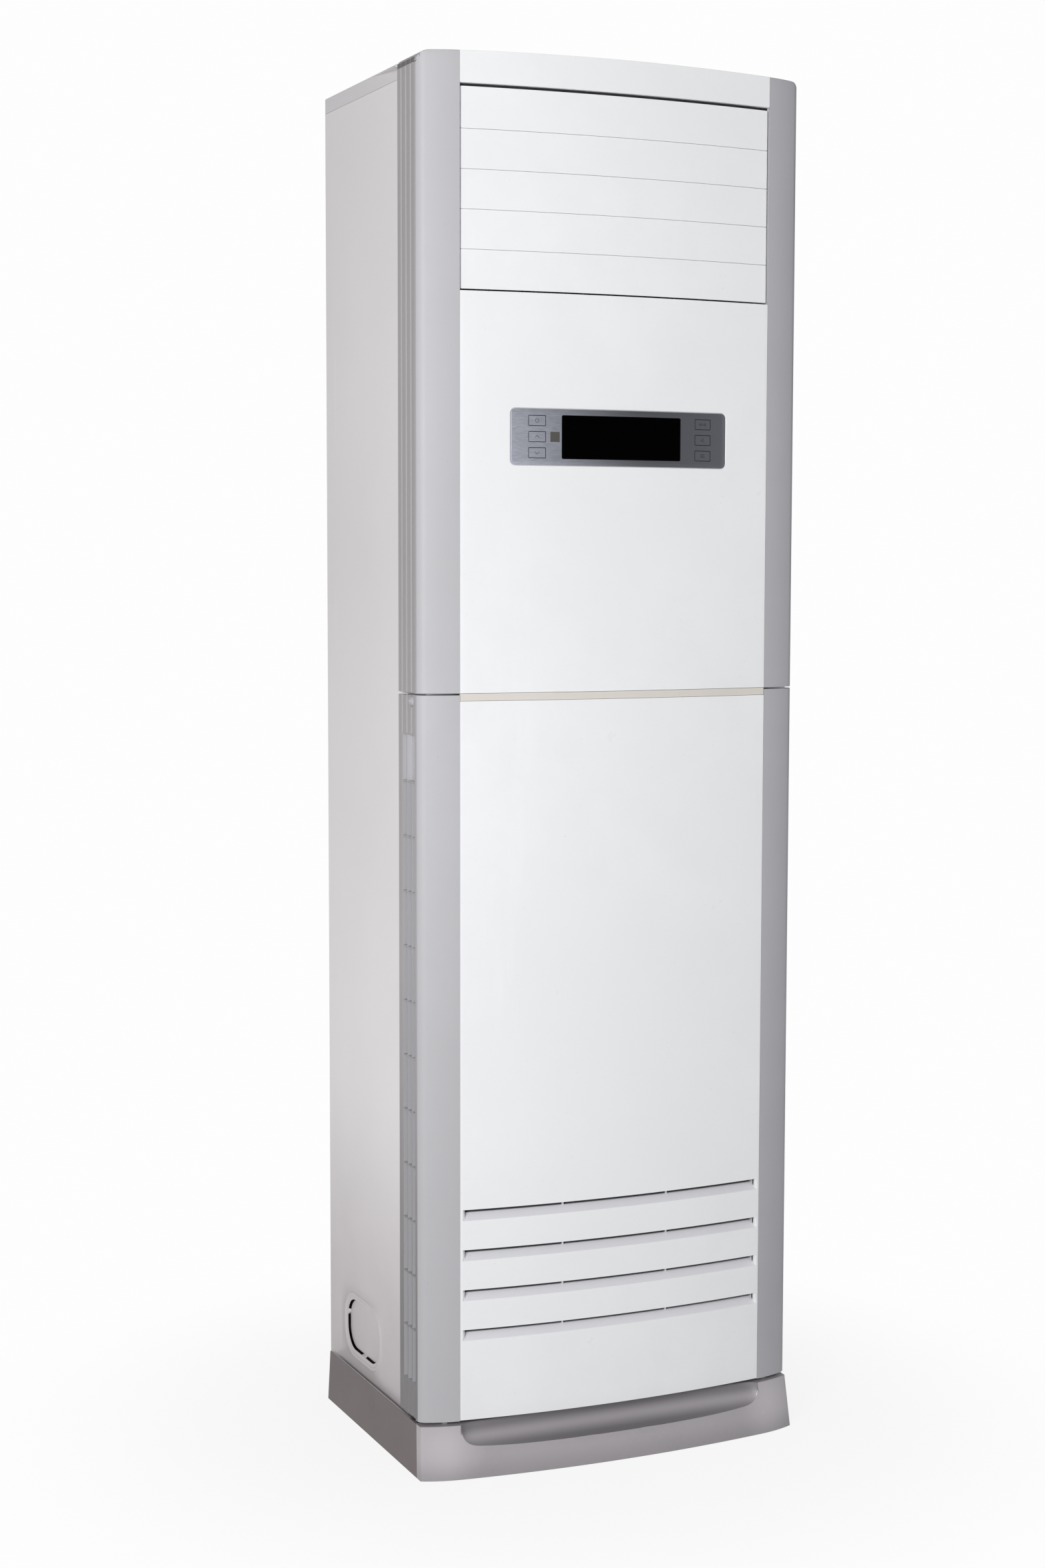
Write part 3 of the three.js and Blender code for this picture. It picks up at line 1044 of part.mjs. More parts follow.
// One slot's sloped floor: it starts at the front surface and climbs back to the open mouth
function slotRamp(top) {
  const bottom = top - SLOT_HEIGHT;
  const rise = SLOT_HEIGHT - SLOT_MOUTH;
  const lean = extrude([...bowLine(0, -SLOT_HALF, SLOT_HALF),
    ...bowLine(RAMP_THICK, -SLOT_HALF, SLOT_HALF).reverse()], rise);
  const place = lean.attributes.position;
  for (let i = 0; i < place.count; i++) {
    const z = place.getZ(i);
    place.setXYZ(i, place.getX(i), place.getY(i) + (RAMP_DEPTH - RAMP_THICK) * z / rise, z + bottom);
  }
  return toSolid(lean);
}

function makeLowerFrontPanel() {
  const face = bowSlab(-PANEL_HALF, PANEL_HALF, PANEL_BOTTOM, LOWER_PANEL_TOP, 0, WALL);
  const slots = slotTops.map((top) => block(-SLOT_HALF, SLOT_HALF, -FRONT - PAST, FACE_END + WALL + PAST,
    top - SLOT_HEIGHT, top));
  const ramps = slotTops.map(slotRamp);
  const ribs = slotTops.flatMap((top) => [-SLOT_RIB_X, SLOT_RIB_X].map((x) =>
    bowSlab(x - SLOT_RIB_WIDTH / 2, x + SLOT_RIB_WIDTH / 2, top - SLOT_HEIGHT, top + PAST, WALL - LAP,
      RAMP_DEPTH, 1)));
  const guideTop = SLOT_TOP + FILTER_MARGIN + GUIDE_MARGIN;
  const guideBottom = slotTops.at(-1) - SLOT_HEIGHT - FILTER_MARGIN - GUIDE_MARGIN;
  const right = join(joggle(PANEL_BOTTOM + JOGGLE_RISE, LOWER_PANEL_TOP, railOuter),
    block(PANEL_HALF - JOGGLE, PANEL_HALF - JOGGLE + WALL, RAIL_FRONT,
      FACE_END + SLOT_FILTER_INSET + GUIDE_DEPTH, guideBottom, guideTop));
  return join(cut(face, ...slots), ...ramps, ...ribs, right, mirrored(right));
}

add('lower_front_panel', makeLowerFrontPanel(), WHITE);

// The filter behind the slots slides in the guides at the panel's ends and follows its bow
function makeSlotFilter() {
  const half = PANEL_HALF - JOGGLE - GAP;
  const bottom = slotTops.at(-1) - SLOT_HEIGHT - FILTER_MARGIN;
  const top = SLOT_TOP + FILTER_MARGIN;
  const inner = SLOT_FILTER_INSET + FILTER_THICK;
  const frame = bowSlab(-half, half, bottom, top, SLOT_FILTER_INSET, inner, 8);
  const panes = [-2, -1, 0, 1].map((i) => block(i * half / 2 + FILTER_BAR, (i + 1) * half / 2 - FILTER_BAR,
    -FRONT, FACE_END + inner + PAST, bottom + FILTER_FRAME, top - FILTER_FRAME).intersect(
    bowSlab(-half, half, bottom, top, SLOT_FILTER_INSET + FILTER_FLOOR, inner + PAST, 8)));
  return cut(frame, ...panes);
}

add('slot_filter', makeSlotFilter(), MESH);

// ---------------------------------------------------------------- Partition, drain pan, evaporator

const partitionTop = PARTITION_Z + PARTITION_THICK;
const panFloor = partitionTop + GAP;
const spoutY = (PAN_FRONT + PAN_REAR) / 2;
const scrollLip = SCROLL_R_START * Math.cos(SCROLL_CUTOFF) - SCROLL_LIP;

function makePartition() {
  const below = PARTITION_Z - PAST;
  const above = partitionTop + PAST;
  const plate = block(-insideHalf, insideHalf, PARTITION_FRONT, BACK - SHEET - GAP,
    PARTITION_Z, partitionTop);
  const throat = block(SCROLL_WALL - SCROLL_R_END, scrollLip - SCROLL_WALL, SCROLL_FRONT + SCROLL_WALL,
    SCROLL_REAR - SCROLL_WALL, below, above);
  const flangeMiddles = [SIDE_FRONT + SHEET / 2, BACK - 1.5 * SHEET - GAP];
  const slotHalf = SHEET / 2 + SLOT_PLAY;
  const flangeSlots = [-1, 1].flatMap((side) => flangeMiddles.map((y) => {
    const middle = side * (CABINET_HALF - FLANGE / 2);
    const reach = FLANGE / 2 + SLOT_PLAY;
    return block(middle - reach, middle + reach, y - slotHalf, y + slotHalf, below, above);
  }));
  const pipeNotch = block(-insideHalf - PAST, PIPE_X + PIPE_BEND / 2, LIQUID_PIPE_Y - PIPE_BEND / 2,
    GAS_PIPE_Y + PIPE_BEND / 2, below, above);
  return cut(plate, throat, ...flangeSlots, pipeNotch,
    rodZ(below, above, SPOUT_X, spoutY, SPOUT_R + SLOT_PLAY, 12));
}

function makeDrainPan() {
  const pan = cut(
    block(-PAN_HALF, PAN_HALF, PAN_FRONT, PAN_REAR, panFloor, panFloor + PAN_HEIGHT),
    block(PAN_WALL - PAN_HALF, PAN_HALF - PAN_WALL, PAN_FRONT + PAN_WALL, PAN_REAR - PAN_WALL,
      panFloor + PAN_WALL, panFloor + PAN_HEIGHT + PAST));
  const spout = rodZ(panFloor - SPOUT_DROP, panFloor + LAP, SPOUT_X, spoutY, SPOUT_R, 12);
  const bore = rodZ(panFloor - SPOUT_DROP - PAST, panFloor + 2 * PAN_WALL, SPOUT_X, spoutY,
    SPOUT_R - PAN_WALL, 12);
  return cut(join(pan, spout), bore);
}

const coilPlace = new THREE.Matrix4().makeTranslation(0, COIL_Y, COIL_Z)
  .multiply(new THREE.Matrix4().makeRotationX(-COIL_TILT));

const bendStep = COIL_LENGTH / BEND_COUNT;

// A tube plate with its return bends, on the right; its foot stands in the drain pan
function makeTubePlate() {
  const inner = COIL_HALF + GAP;
  const outer = inner + TUBE_PLATE;
  const half = COIL_LENGTH / 2 + TUBE_PLATE_EDGE;
  const halfDepth = COIL_THICK / 2 + TUBE_PLATE_LIP;
  const plate = block(inner, outer, -halfDepth, halfDepth, -half, half);
  const bends = Array.from({ length: BEND_COUNT }, (_, i) => {
    const z = (i + 0.5) * bendStep - COIL_LENGTH / 2;
    const reach = outer + BEND_R * 4 / 3;
    const curve = new THREE.CubicBezierCurve3(
      new THREE.Vector3(outer - LAP, -BEND_R, z), new THREE.Vector3(reach, -BEND_R, z),
      new THREE.Vector3(reach, BEND_R, z), new THREE.Vector3(outer - LAP, BEND_R, z));
    return tube(curve, BEND_TUBE_R, 4, 6);
  });
  const lowest = COIL_Y - (COIL_LENGTH / 2) * Math.sin(COIL_TILT);
  const foot = block(inner, outer, lowest - PLATE_FOOT_HALF, lowest + PLATE_FOOT_HALF,
    panFloor + PAN_WALL + GAP, COIL_Z - (COIL_LENGTH / 2 - PLATE_FOOT_HALF) * Math.cos(COIL_TILT));
  return join(moved(join(plate, ...bends), coilPlace), foot);
}

add('partition_plate', makePartition(), ZINC);
add('drain_pan', makeDrainPan(), FOAM);
add('evaporator_fins', moved(block(-COIL_HALF, COIL_HALF, -COIL_THICK / 2, COIL_THICK / 2,
  -COIL_LENGTH / 2, COIL_LENGTH / 2), coilPlace), FINS);
addPair('tube_plate', makeTubePlate(), COPPER);

// ---------------------------------------------------------------- Pipes

const vector = (x, y, z) => new THREE.Vector3(x, y, z);

// A round quarter bend from one point to another, past the corner between them
const elbow = (from, past, to, radius) =>
  tube(new THREE.QuadraticBezierCurve3(from, past, to), radius, 5);

// A pipe runs from between two return bends to the side, then back, and down to its flare nut
function makePipe(radius, y, row) {
  const along = row * bendStep - COIL_LENGTH / 2;
  const start = COIL_Y + along * Math.sin(COIL_TILT);
  const z = COIL_Z + along * Math.cos(COIL_TILT);
  const face = -COIL_HALF - 2 * GAP - TUBE_PLATE;
  return join(
    rodX(PIPE_X + PIPE_BEND - LAP, face, start, z, radius),
    elbow(vector(PIPE_X + PIPE_BEND, start, z), vector(PIPE_X, start, z),
      vector(PIPE_X, start + PIPE_BEND, z), radius),
    rodY(start + PIPE_BEND - LAP, y - PIPE_BEND + LAP, PIPE_X, z, radius),
    elbow(vector(PIPE_X, y - PIPE_BEND, z), vector(PIPE_X, y, z),
      vector(PIPE_X, y, z - PIPE_BEND), radius),
    rodZ(PIPE_BOTTOM, z - PIPE_BEND + LAP, PIPE_X, y, radius),
    rodZ(PIPE_BOTTOM - FLARE_NUT_HEIGHT, PIPE_BOTTOM + LAP, PIPE_X, y,
      FLARE_NUT_RATIO * radius, 6));
}

add('gas_pipe', makePipe(GAS_PIPE_R, GAS_PIPE_Y, GAS_PIPE_ROW), COPPER);
add('liquid_pipe', makePipe(LIQUID_PIPE_R, LIQUID_PIPE_Y, LIQUID_PIPE_ROW), COPPER);

// ---------------------------------------------------------------- Blower

// The scroll seen from the front: a spiral from the cut-off round to a straight side, open on top
function scrollOutline(inset, top) {
  const turns = 20;
  const sweep = SCROLL_CUTOFF + Math.PI;
  const spiral = Array.from({ length: turns + 1 }, (_, i) => {
    const angle = SCROLL_CUTOFF - sweep * i / turns;
    const radius = SCROLL_R_START + (SCROLL_R_END - SCROLL_R_START) * i / turns - inset;
    return [radius * Math.cos(angle), BLOWER_Z + radius * Math.sin(angle)];
  });
  return [...spiral, [inset - SCROLL_R_END, top], [scrollLip - inset, top]];
}

function makeScroll() {
  const top = PARTITION_Z - GAP;
  return cut(
    prismY(scrollOutline(0, top), SCROLL_FRONT, SCROLL_REAR),
    prismY(scrollOutline(SCROLL_WALL, top + PAST), SCROLL_FRONT + SCROLL_WALL, SCROLL_REAR - SCROLL_WALL),
    rodY(SCROLL_FRONT - PAST, SCROLL_FRONT + SCROLL_WALL + PAST, 0, BLOWER_Z, INLET_R, 24),
    rodY(SCROLL_REAR - SCROLL_WALL - PAST, SCROLL_REAR + PAST, 0, BLOWER_Z, HUB_R + HUB_PLAY, 16));
}

// The bell mouth: its flange lies on the scroll and its throat points into the wheel
function makeInletRing() {
  const face = SCROLL_FRONT - GAP;
  const throat = WHEEL_FRONT - THROAT_PLAY;
  const flange = INLET_R + INLET_FLANGE;
  const profile = [[THROAT_R, throat], [THROAT_R + RING_WALL, throat],
    [THROAT_R + 2 * RING_WALL, face + 2 * RING_WALL], [INLET_R - 1.5 * RING_WALL, face], [flange, face],
    [flange, face - RING_WALL], [INLET_R - 2 * RING_WALL, face - RING_WALL],
    [THROAT_R + RING_WALL / 2, face + 1.5 * RING_WALL], [THROAT_R, throat]];
  const ring = new THREE.LatheGeometry(profile.map(([r, y]) => new THREE.Vector2(r, y)), 24);
  return toSolid(ring.translate(0, 0, BLOWER_Z));
}

function makeWheel() {
  const backplate = rodY(WHEEL_REAR - WHEEL_DISC, WHEEL_REAR, 0, BLOWER_Z, WHEEL_R, 24);
  const rim = cut(rodY(WHEEL_FRONT, WHEEL_FRONT + WHEEL_RIM, 0, BLOWER_Z, WHEEL_R, 24),
    rodY(WHEEL_FRONT - PAST, WHEEL_FRONT + WHEEL_RIM + PAST, 0, BLOWER_Z, WHEEL_INNER_R, 24));
  const middle = (WHEEL_R + WHEEL_INNER_R) / 2;
  const chord = BLADE_DEPTH - WHEEL_RIM;
  const blades = Array.from({ length: BLADE_COUNT }, (_, i) => {
    const turn = new THREE.Matrix4().makeRotationY(i * 2 * Math.PI / BLADE_COUNT);
    const lean = new THREE.Matrix4().makeRotationY(BLADE_LEAN);
    const place = new THREE.Matrix4().makeTranslation(0, 0, BLOWER_Z).multiply(turn)
      .multiply(new THREE.Matrix4().makeTranslation(middle, 0, 0)).multiply(lean);
    return moved(block(-chord / 2, chord / 2, WHEEL_FRONT + LAP, WHEEL_REAR - LAP,
      -BLADE_THICK / 2, BLADE_THICK / 2), place);
  });
  const hub = rodY(WHEEL_REAR - HUB_LENGTH, WHEEL_REAR + WHEEL_DISC, 0, BLOWER_Z, HUB_R, 16);
  const shaft = rodY(WHEEL_REAR - HUB_LENGTH - SHAFT_END, motorFront + BLOWER_MOTOR_LENGTH / 2,
    0, BLOWER_Z, SHAFT_R, 12);
  return join(backplate, rim, ...blades, hub, shaft);
}

const bracketFront = SCROLL_REAR + GAP;
const motorFront = bracketFront + BRACKET_THICK + GAP;

function makeMotorBracket() {
  const plate = block(-BRACKET_HALF, BRACKET_HALF, bracketFront, bracketFront + BRACKET_THICK,
    BLOWER_Z - BRACKET_HALF, BLOWER_Z + BRACKET_HALF);
  const windows = [-1, 1].flatMap((a) => [-1, 1].map((b) => rodY(bracketFront - PAST, motorFront,
    a * BRACKET_WINDOW, BLOWER_Z + b * BRACKET_WINDOW, BRACKET_WINDOW_R, 10)));
  return cut(plate, rodY(bracketFront - PAST, motorFront, 0, BLOWER_Z, HUB_R + HUB_PLAY, 16), ...windows);
}

function makeBlowerMotor() {
  const body = join(
    rodY(motorFront, motorFront + MOTOR_FLANGE_THICK, 0, BLOWER_Z, BLOWER_MOTOR_R + MOTOR_FLANGE, 24),
    rodY(motorFront + LAP, motorFront + BLOWER_MOTOR_LENGTH, 0, BLOWER_Z, BLOWER_MOTOR_R, 24));
  return cut(body, rodY(motorFront - PAST, motorFront + BLOWER_MOTOR_LENGTH / 2 + PAST, 0, BLOWER_Z,
    SHAFT_R + PIN_PLAY, 12));
}

add('scroll_housing', makeScroll(), DARK);
add('inlet_ring', makeInletRing(), DARK);
add('blower_wheel', makeWheel(), DARK);
add('motor_bracket', makeMotorBracket(), ZINC);
add('blower_motor', makeBlowerMotor(), ZINC);

// ---------------------------------------------------------------- Electrics

const strapRear = RAIL_REAR;
const strapHalf = railInner - GAP;
const coverFront = strapRear + BOX_DEPTH + GAP;

// The box is open to the rear, and a strap behind it reaches to both rails
add('electric_box', join(
  block(-strapHalf, strapHalf, strapRear - BOX_SHEET, strapRear, BOX_BOTTOM + STRAP_MARGIN,
    BOX_TOP - STRAP_MARGIN),
  cut(
    block(BOX_LEFT, BOX_RIGHT, strapRear - BOX_SHEET, strapRear + BOX_DEPTH, BOX_BOTTOM, BOX_TOP),
    block(BOX_LEFT + BOX_WALL, BOX_RIGHT - BOX_WALL, strapRear + LAP, strapRear + BOX_DEPTH + PAST,
      BOX_BOTTOM + BOX_WALL, BOX_TOP - BOX_WALL))), ZINC);
add('electric_box_cover', block(BOX_LEFT, BOX_RIGHT, coverFront, coverFront + BOX_SHEET,
  BOX_BOTTOM, BOX_TOP), ZINC);

const terminalInner = insideHalf - TERMINAL_DEPTH;
const terminalRear = TERMINAL_FRONT + TERMINAL_WIDTH;
const terminalCuts = Array.from({ length: TERMINAL_COUNT }, (_, i) => {
  const bottom = TERMINAL_Z + TERMINAL_RIB + i * TERMINAL_PITCH;
  return block(terminalInner - PAST, terminalInner + TERMINAL_CUT, TERMINAL_FRONT - PAST,
    terminalRear + PAST, bottom, bottom + TERMINAL_PITCH - TERMINAL_RIB);
});
add('terminal_block', cut(
  block(terminalInner, insideHalf, TERMINAL_FRONT, terminalRear, TERMINAL_Z, TERMINAL_Z + TERMINAL_HEIGHT),
  ...terminalCuts), DARK);

export default unit;
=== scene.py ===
import math
import bmesh
import bpy
import numpy as np
from mathutils import Matrix, Vector


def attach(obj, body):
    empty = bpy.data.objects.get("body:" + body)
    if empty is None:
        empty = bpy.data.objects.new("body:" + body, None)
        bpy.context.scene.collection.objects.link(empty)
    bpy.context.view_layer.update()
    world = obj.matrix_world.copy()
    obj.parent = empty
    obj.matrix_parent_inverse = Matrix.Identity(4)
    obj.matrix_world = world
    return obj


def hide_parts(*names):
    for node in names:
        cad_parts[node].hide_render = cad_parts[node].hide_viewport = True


# Floor standing air conditioner, indoor unit. Its mouldings, sheets and controls are worked out here in
# millimetres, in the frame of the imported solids, and scaled to metres as they are made.
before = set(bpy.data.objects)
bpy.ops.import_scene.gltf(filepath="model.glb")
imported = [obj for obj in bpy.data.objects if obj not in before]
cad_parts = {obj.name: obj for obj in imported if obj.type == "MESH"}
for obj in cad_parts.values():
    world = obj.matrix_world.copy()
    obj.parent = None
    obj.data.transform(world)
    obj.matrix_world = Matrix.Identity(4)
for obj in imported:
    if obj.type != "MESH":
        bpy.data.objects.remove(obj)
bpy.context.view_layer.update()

# -------- Camera
# The unit is seen from 3.4 m away, 24 degrees to its left, with the lens at chest height.
# A long lens on a 36 mm frame, turned a tenth of a degree.
scene = bpy.context.scene


def placed(name, data):
    """A new object in the scene."""
    thing = bpy.data.objects.new(name, data)
    scene.collection.objects.link(thing)
    return thing


camera = placed("camera", bpy.data.cameras.new("camera"))
scene.camera = camera
camera.data.sensor_width = 36
camera.data.lens = 58.496
camera.data.clip_end = 60

turn, tip, roll = np.radians([23.6863, -4.997, 0.1105])
camera.matrix_world = (Matrix.Translation((-1.42856, -3.13486, 1.1754)) @ Matrix.Rotation(-turn, 4, "Z")
                       @ Matrix.Rotation(math.pi / 2 + tip, 4, "X") @ Matrix.Rotation(roll, 4, "Z"))

# -------- Studio
# A white sweep of floor under two softboxes: a strong one in front on the left, which makes that side
# of the unit brighter, and a weak one on the right.


def sums(operation, swapped=False):
    """A method that adds a Math node. Swapped ones put the other value first, as in 1 - mask."""
    def method(self, other=0):
        values = (other, self) if swapped else (self, other)
        return self.nodes.node("Math", {"operation": operation}, dict(enumerate(values)))
    return method


class Socket:
    """A value or colour, whose nodes are written as sums: 1 - mask, grain * 0.3 + 0.5."""
    __add__, __radd__ = sums("ADD"), sums("ADD", swapped=True)
    __sub__, __rsub__ = sums("SUBTRACT"), sums("SUBTRACT", swapped=True)
    __mul__, __rmul__ = sums("MULTIPLY"), sums("MULTIPLY", swapped=True)
    __truediv__, __pow__, __abs__ = sums("DIVIDE"), sums("POWER"), sums("ABSOLUTE")
    least, most, sine = sums("MINIMUM"), sums("MAXIMUM"), sums("SINE")

    def __init__(self, nodes, link):
        self.nodes, self.link = nodes, link

    def wave(self, pitch):
        """A sine that comes round once in every pitch, in metres."""
        return (self * (2 * math.pi / pitch)).sine()

    def between(self, low, high):
        """0 below low, 1 above high, and a smooth rise between."""
        return self.nodes.node("MapRange", {"interpolation_type": "SMOOTHSTEP"},
                               {"Value": self, "From Min": low, "From Max": high})


class Nodes:
    """A node tree, to which nodes are added in calls."""

    def __init__(self, tree):
        self.tree = tree

    def node(self, kind, settings=None, inputs=None, output=0):
        """Adds a node: its settings first, then what goes into its sockets, by name or number."""
        made = self.tree.nodes.new("ShaderNode" + kind)
        for name, value in (settings or {}).items():
            setattr(made, name, value)
        for name, value in (inputs or {}).items():
            self.feed(made.inputs[name], value)
        return Socket(self, made.outputs[output])

    def feed(self, socket, value):
        if isinstance(value, Socket):
            self.tree.links.new(value.link, socket)
        else:
            socket.default_value = value


class Finish(Nodes):
    """A material. Its patterns are placed by the piece's own coordinates, in metres."""

    def __init__(self, name, colour, **constants):
        self.material = bpy.data.materials.new(name)
        self.material.use_nodes = True
        super().__init__(self.material.node_tree)
        self.shader = self.tree.nodes["Principled BSDF"]
        self.material.diffuse_color = (*colour, 1)
        self.set("Base Color", (*colour, 1))
        for name, value in constants.items():
            self.set(name.replace("_", " "), value)

    def set(self, name, value):
        self.feed(self.shader.inputs[name], value)

    def place(self):
        return self.node("TexCoord", output="Object")

    def along(self, axis):
        """The x, y or z of a point on the piece, in metres."""
        return self.node("SeparateXYZ", {}, {0: self.place()}, "xyz".index(axis))

    def noise(self, per_metre, detail=2, stretch=(1, 1, 1), rough=0.5):
        """Cloudy noise about 0.5, with so many cells to the metre, drawn out along an axis."""
        where = self.node("Mapping", {}, {"Vector": self.place(), "Scale": stretch})
        return self.node("TexNoise", {}, {
            "Vector": where, "Scale": per_metre, "Detail": detail, "Roughness": rough})

    def mix(self, share, first, second):
        """Colour first where share is 0, and second where it is 1."""
        first, second = [(*c, 1) if isinstance(c, tuple) else c for c in (first, second)]
        return self.node("Mix", {"data_type": "RGBA"}, {0: share, 6: first, 7: second}, 2)

    def shades(self, share, first, second, rough, uneven, rise):
        """Mixes two colours by a share, and roughens the finish by an uneven value times its rise."""
        self.set("Base Color", self.mix(share, first, second))
        self.set("Roughness", rough + uneven * rise)

    def bump(self, height, metres, strength):
        self.set("Normal", self.node("Bump", {}, {
            "Height": height, "Distance": metres, "Strength": strength}))


def stacked(*axes):
    """Points from their coordinates, which are numbers or arrays."""
    return np.stack(np.broadcast_arrays(*axes), -1)


def cells(rows, columns, around=False):
    """Corner numbers of a grid's cells, row by row. Around joins the last column to the first."""
    i, j = np.meshgrid(np.arange(rows - 1), np.arange(columns - (not around)), indexing="ij")
    k = (j + 1) % columns
    return stacked(i * columns + j, i * columns + k, (i + 1) * columns + k, (i + 1) * columns + j)


FLOOR_RADIUS, RINGS, SPOKES = 30, 23, 64
ring, spoke = np.meshgrid((np.arange(1, RINGS + 1) / RINGS) ** 2 * FLOOR_RADIUS,
                          np.arange(SPOKES) * 2 * np.pi / SPOKES, indexing="ij")
floor_mesh = bpy.data.meshes.new("floor")
floor_mesh.from_pydata(
    stacked(ring * np.cos(spoke), ring * np.sin(spoke), 0).reshape(-1, 3), [],
    [list(range(SPOKES)), *cells(RINGS, SPOKES, around=True)[..., ::-1].reshape(-1, 4).tolist()])
floor = placed("floor", floor_mesh)
floor.location.z = -0.0006

# The floor is paper to the lamps, and a glow to the camera and in reflections. Round the unit some of
# the paper shows through, for its shadow.
sweep = Finish("white_sweep", (0.8, 0.8, 0.8), Roughness=1.0)
seen, reflected = [sweep.node("LightPath", output=f"Is {ray} Ray") for ray in ("Camera", "Glossy")]
distance = (sweep.along("x") ** 2 + sweep.along("y") ** 2) ** 0.5
paper = sweep.node("BsdfDiffuse", {}, {"Color": (0.7, 0.7, 0.7, 1)})
glow = sweep.node("Emission", {}, {"Color": (0.985, 0.985, 0.985, 1), "Strength": 1.0})
veil = (seen + reflected).least(1) * (0.89 + distance.between(0.25, 0.85) * 0.11)
surface = sweep.node("MixShader", {}, {0: veil, 1: paper, 2: glow})
sweep.feed(sweep.tree.nodes["Material Output"].inputs["Surface"], surface)
floor_mesh.materials.append(sweep.material)

world = bpy.data.worlds.new("studio")
world.use_nodes = True
scene.world = world
sky = Nodes(world.node_tree)
seen, passed = [sky.node("LightPath", output=f"Is {ray} Ray") for ray in ("Camera", "Transmission")]
backdrop = world.node_tree.nodes["Background"].inputs
sky.feed(backdrop["Color"], (1, 1, 1, 1))
strength = sky.node("Mix", {}, {0: seen.most(passed), 2: 0.28, 3: 0.985})
sky.feed(backdrop["Strength"], strength)


def softbox(name, spot, aim, width, height, watts):
    """A rectangular lamp at a place, turned to a point."""
    lamp = bpy.data.lights.new(name, "AREA")
    lamp.shape, lamp.size, lamp.size_y, lamp.energy = "RECTANGLE", width, height, watts
    thing = placed(name, lamp)
    thing.location = spot
    thing.rotation_mode = "QUATERNION"
    thing.rotation_quaternion = (Vector(aim) - Vector(spot)).to_track_quat("-Z", "Y")


softbox("front_left", (-3.0, -3.4, 1.7), (0, 0, 1.1), 1.8, 2.0, 152)
softbox("front_right", (3.2, -2.4, 1.9), (0, 0, 1.0), 1.5, 2.0, 16)

scene.view_settings.view_transform = "Standard"

# -------- Plinth
# The moulded grey base: a shell with a rounded scoop under the front. Its toe spreads to the floor, and
# two lugs on its deck carry the hinge pins of the lower front.
FRONT_Y, PANEL_HALF, BOW_DEPTH = -192.5, 217, 14.5
BOW_R = (PANEL_HALF ** 2 + BOW_DEPTH ** 2) / (2 * BOW_DEPTH)
BOW_Y = BOW_R + FRONT_Y
PILLAR_X, SHOULDER_R, CORNER_R, WALL = 268.5, 165, 15.5, 3


def joined(*arrays, axis=0):
    return np.concatenate(arrays, axis)


def bow(x, inset=0):
    """Depth y of the shallow front arc at x: a circle through the middle and both ends, inset behind it."""
    return BOW_Y - np.sqrt((BOW_R - inset) ** 2 - np.asarray(x, float) ** 2)


def arc(centre, radius, angles):
    """Points of an arc, by the angle of its outward normal from the front."""
    return stacked(centre[0] + radius * np.sin(angles), centre[1] - radius * np.cos(angles))


def lines(*marks):
    """Grid lines from the first mark to the last. A mark is a place and the spacing of the lines after it."""
    runs = [np.linspace(a, b, max(1, round((b - a) / step)) + 1)[1:]
            for (a, step), (b, _) in zip(marks, marks[1:])]
    return joined([marks[0][0]], *runs)


def slab(front, back, keep=None, walls=True):
    """A closed wall between two grids of points: both faces, and a strip round every edge of the kept cells.
    Without walls, only the holes get a strip."""
    cell = cells(*front.shape[:2])
    keep = np.ones(cell.shape[:2], bool) if keep is None else keep
    pad = np.pad(keep, 1, constant_values=not walls)
    beyond = [pad[:-2, 1:-1], pad[1:-1, 2:], pad[2:, 1:-1], pad[1:-1, :-2]]
    size = front[..., 0].size
    faces = [cell[keep], cell[keep][:, ::-1] + size]
    for side in range(4):
        edge = cell[keep & ~beyond[side]][:, [(side + 1) % 4, side]]
        faces.append(joined(edge, edge[:, ::-1] + size, axis=1))
    return joined(front.reshape(-1, 3), back.reshape(-1, 3)), joined(*faces).tolist()


def carried(sections):
    """A closed outline carried through a row of stations, with a flat face at either end."""
    stations, count = sections.shape[:2]
    faces = cells(stations, count, around=True).reshape(-1, 4).tolist()
    ends = [list(range(count))[::-1], list(range((stations - 1) * count, stations * count))]
    return sections, faces + ends


def block(x, y, z):
    """A bar with square sides, from the first to the last of each pair."""
    corners = (x[0], y[0]), (x[1], y[0]), (x[1], y[1]), (x[0], y[1])
    return carried(np.array([[(*corner, height) for corner in corners] for height in z], float))


def rod(axis, span, centre, radius, sides=20):
    """A round bar along an axis, with chamfered ends."""
    angle = np.arange(sides) * 2 * np.pi / sides
    chamfer = min(0.4, radius / 4)
    sections = []
    for along, r in ((span[0], radius - chamfer), (span[0] + chamfer, radius),
                     (span[1] - chamfer, radius), (span[1], radius - chamfer)):
        circle = stacked(centre[0] + r * np.cos(angle), centre[1] + r * np.sin(angle))
        sections.append(np.insert(circle, "xyz".index(axis), along, axis=1))
    return carried(np.array(sections))


def mirrored(part):
    """The same part on the other side of the unit."""
    return part[0] * (-1, 1, 1), [list(face)[::-1] for face in part[1]], *part[2:]


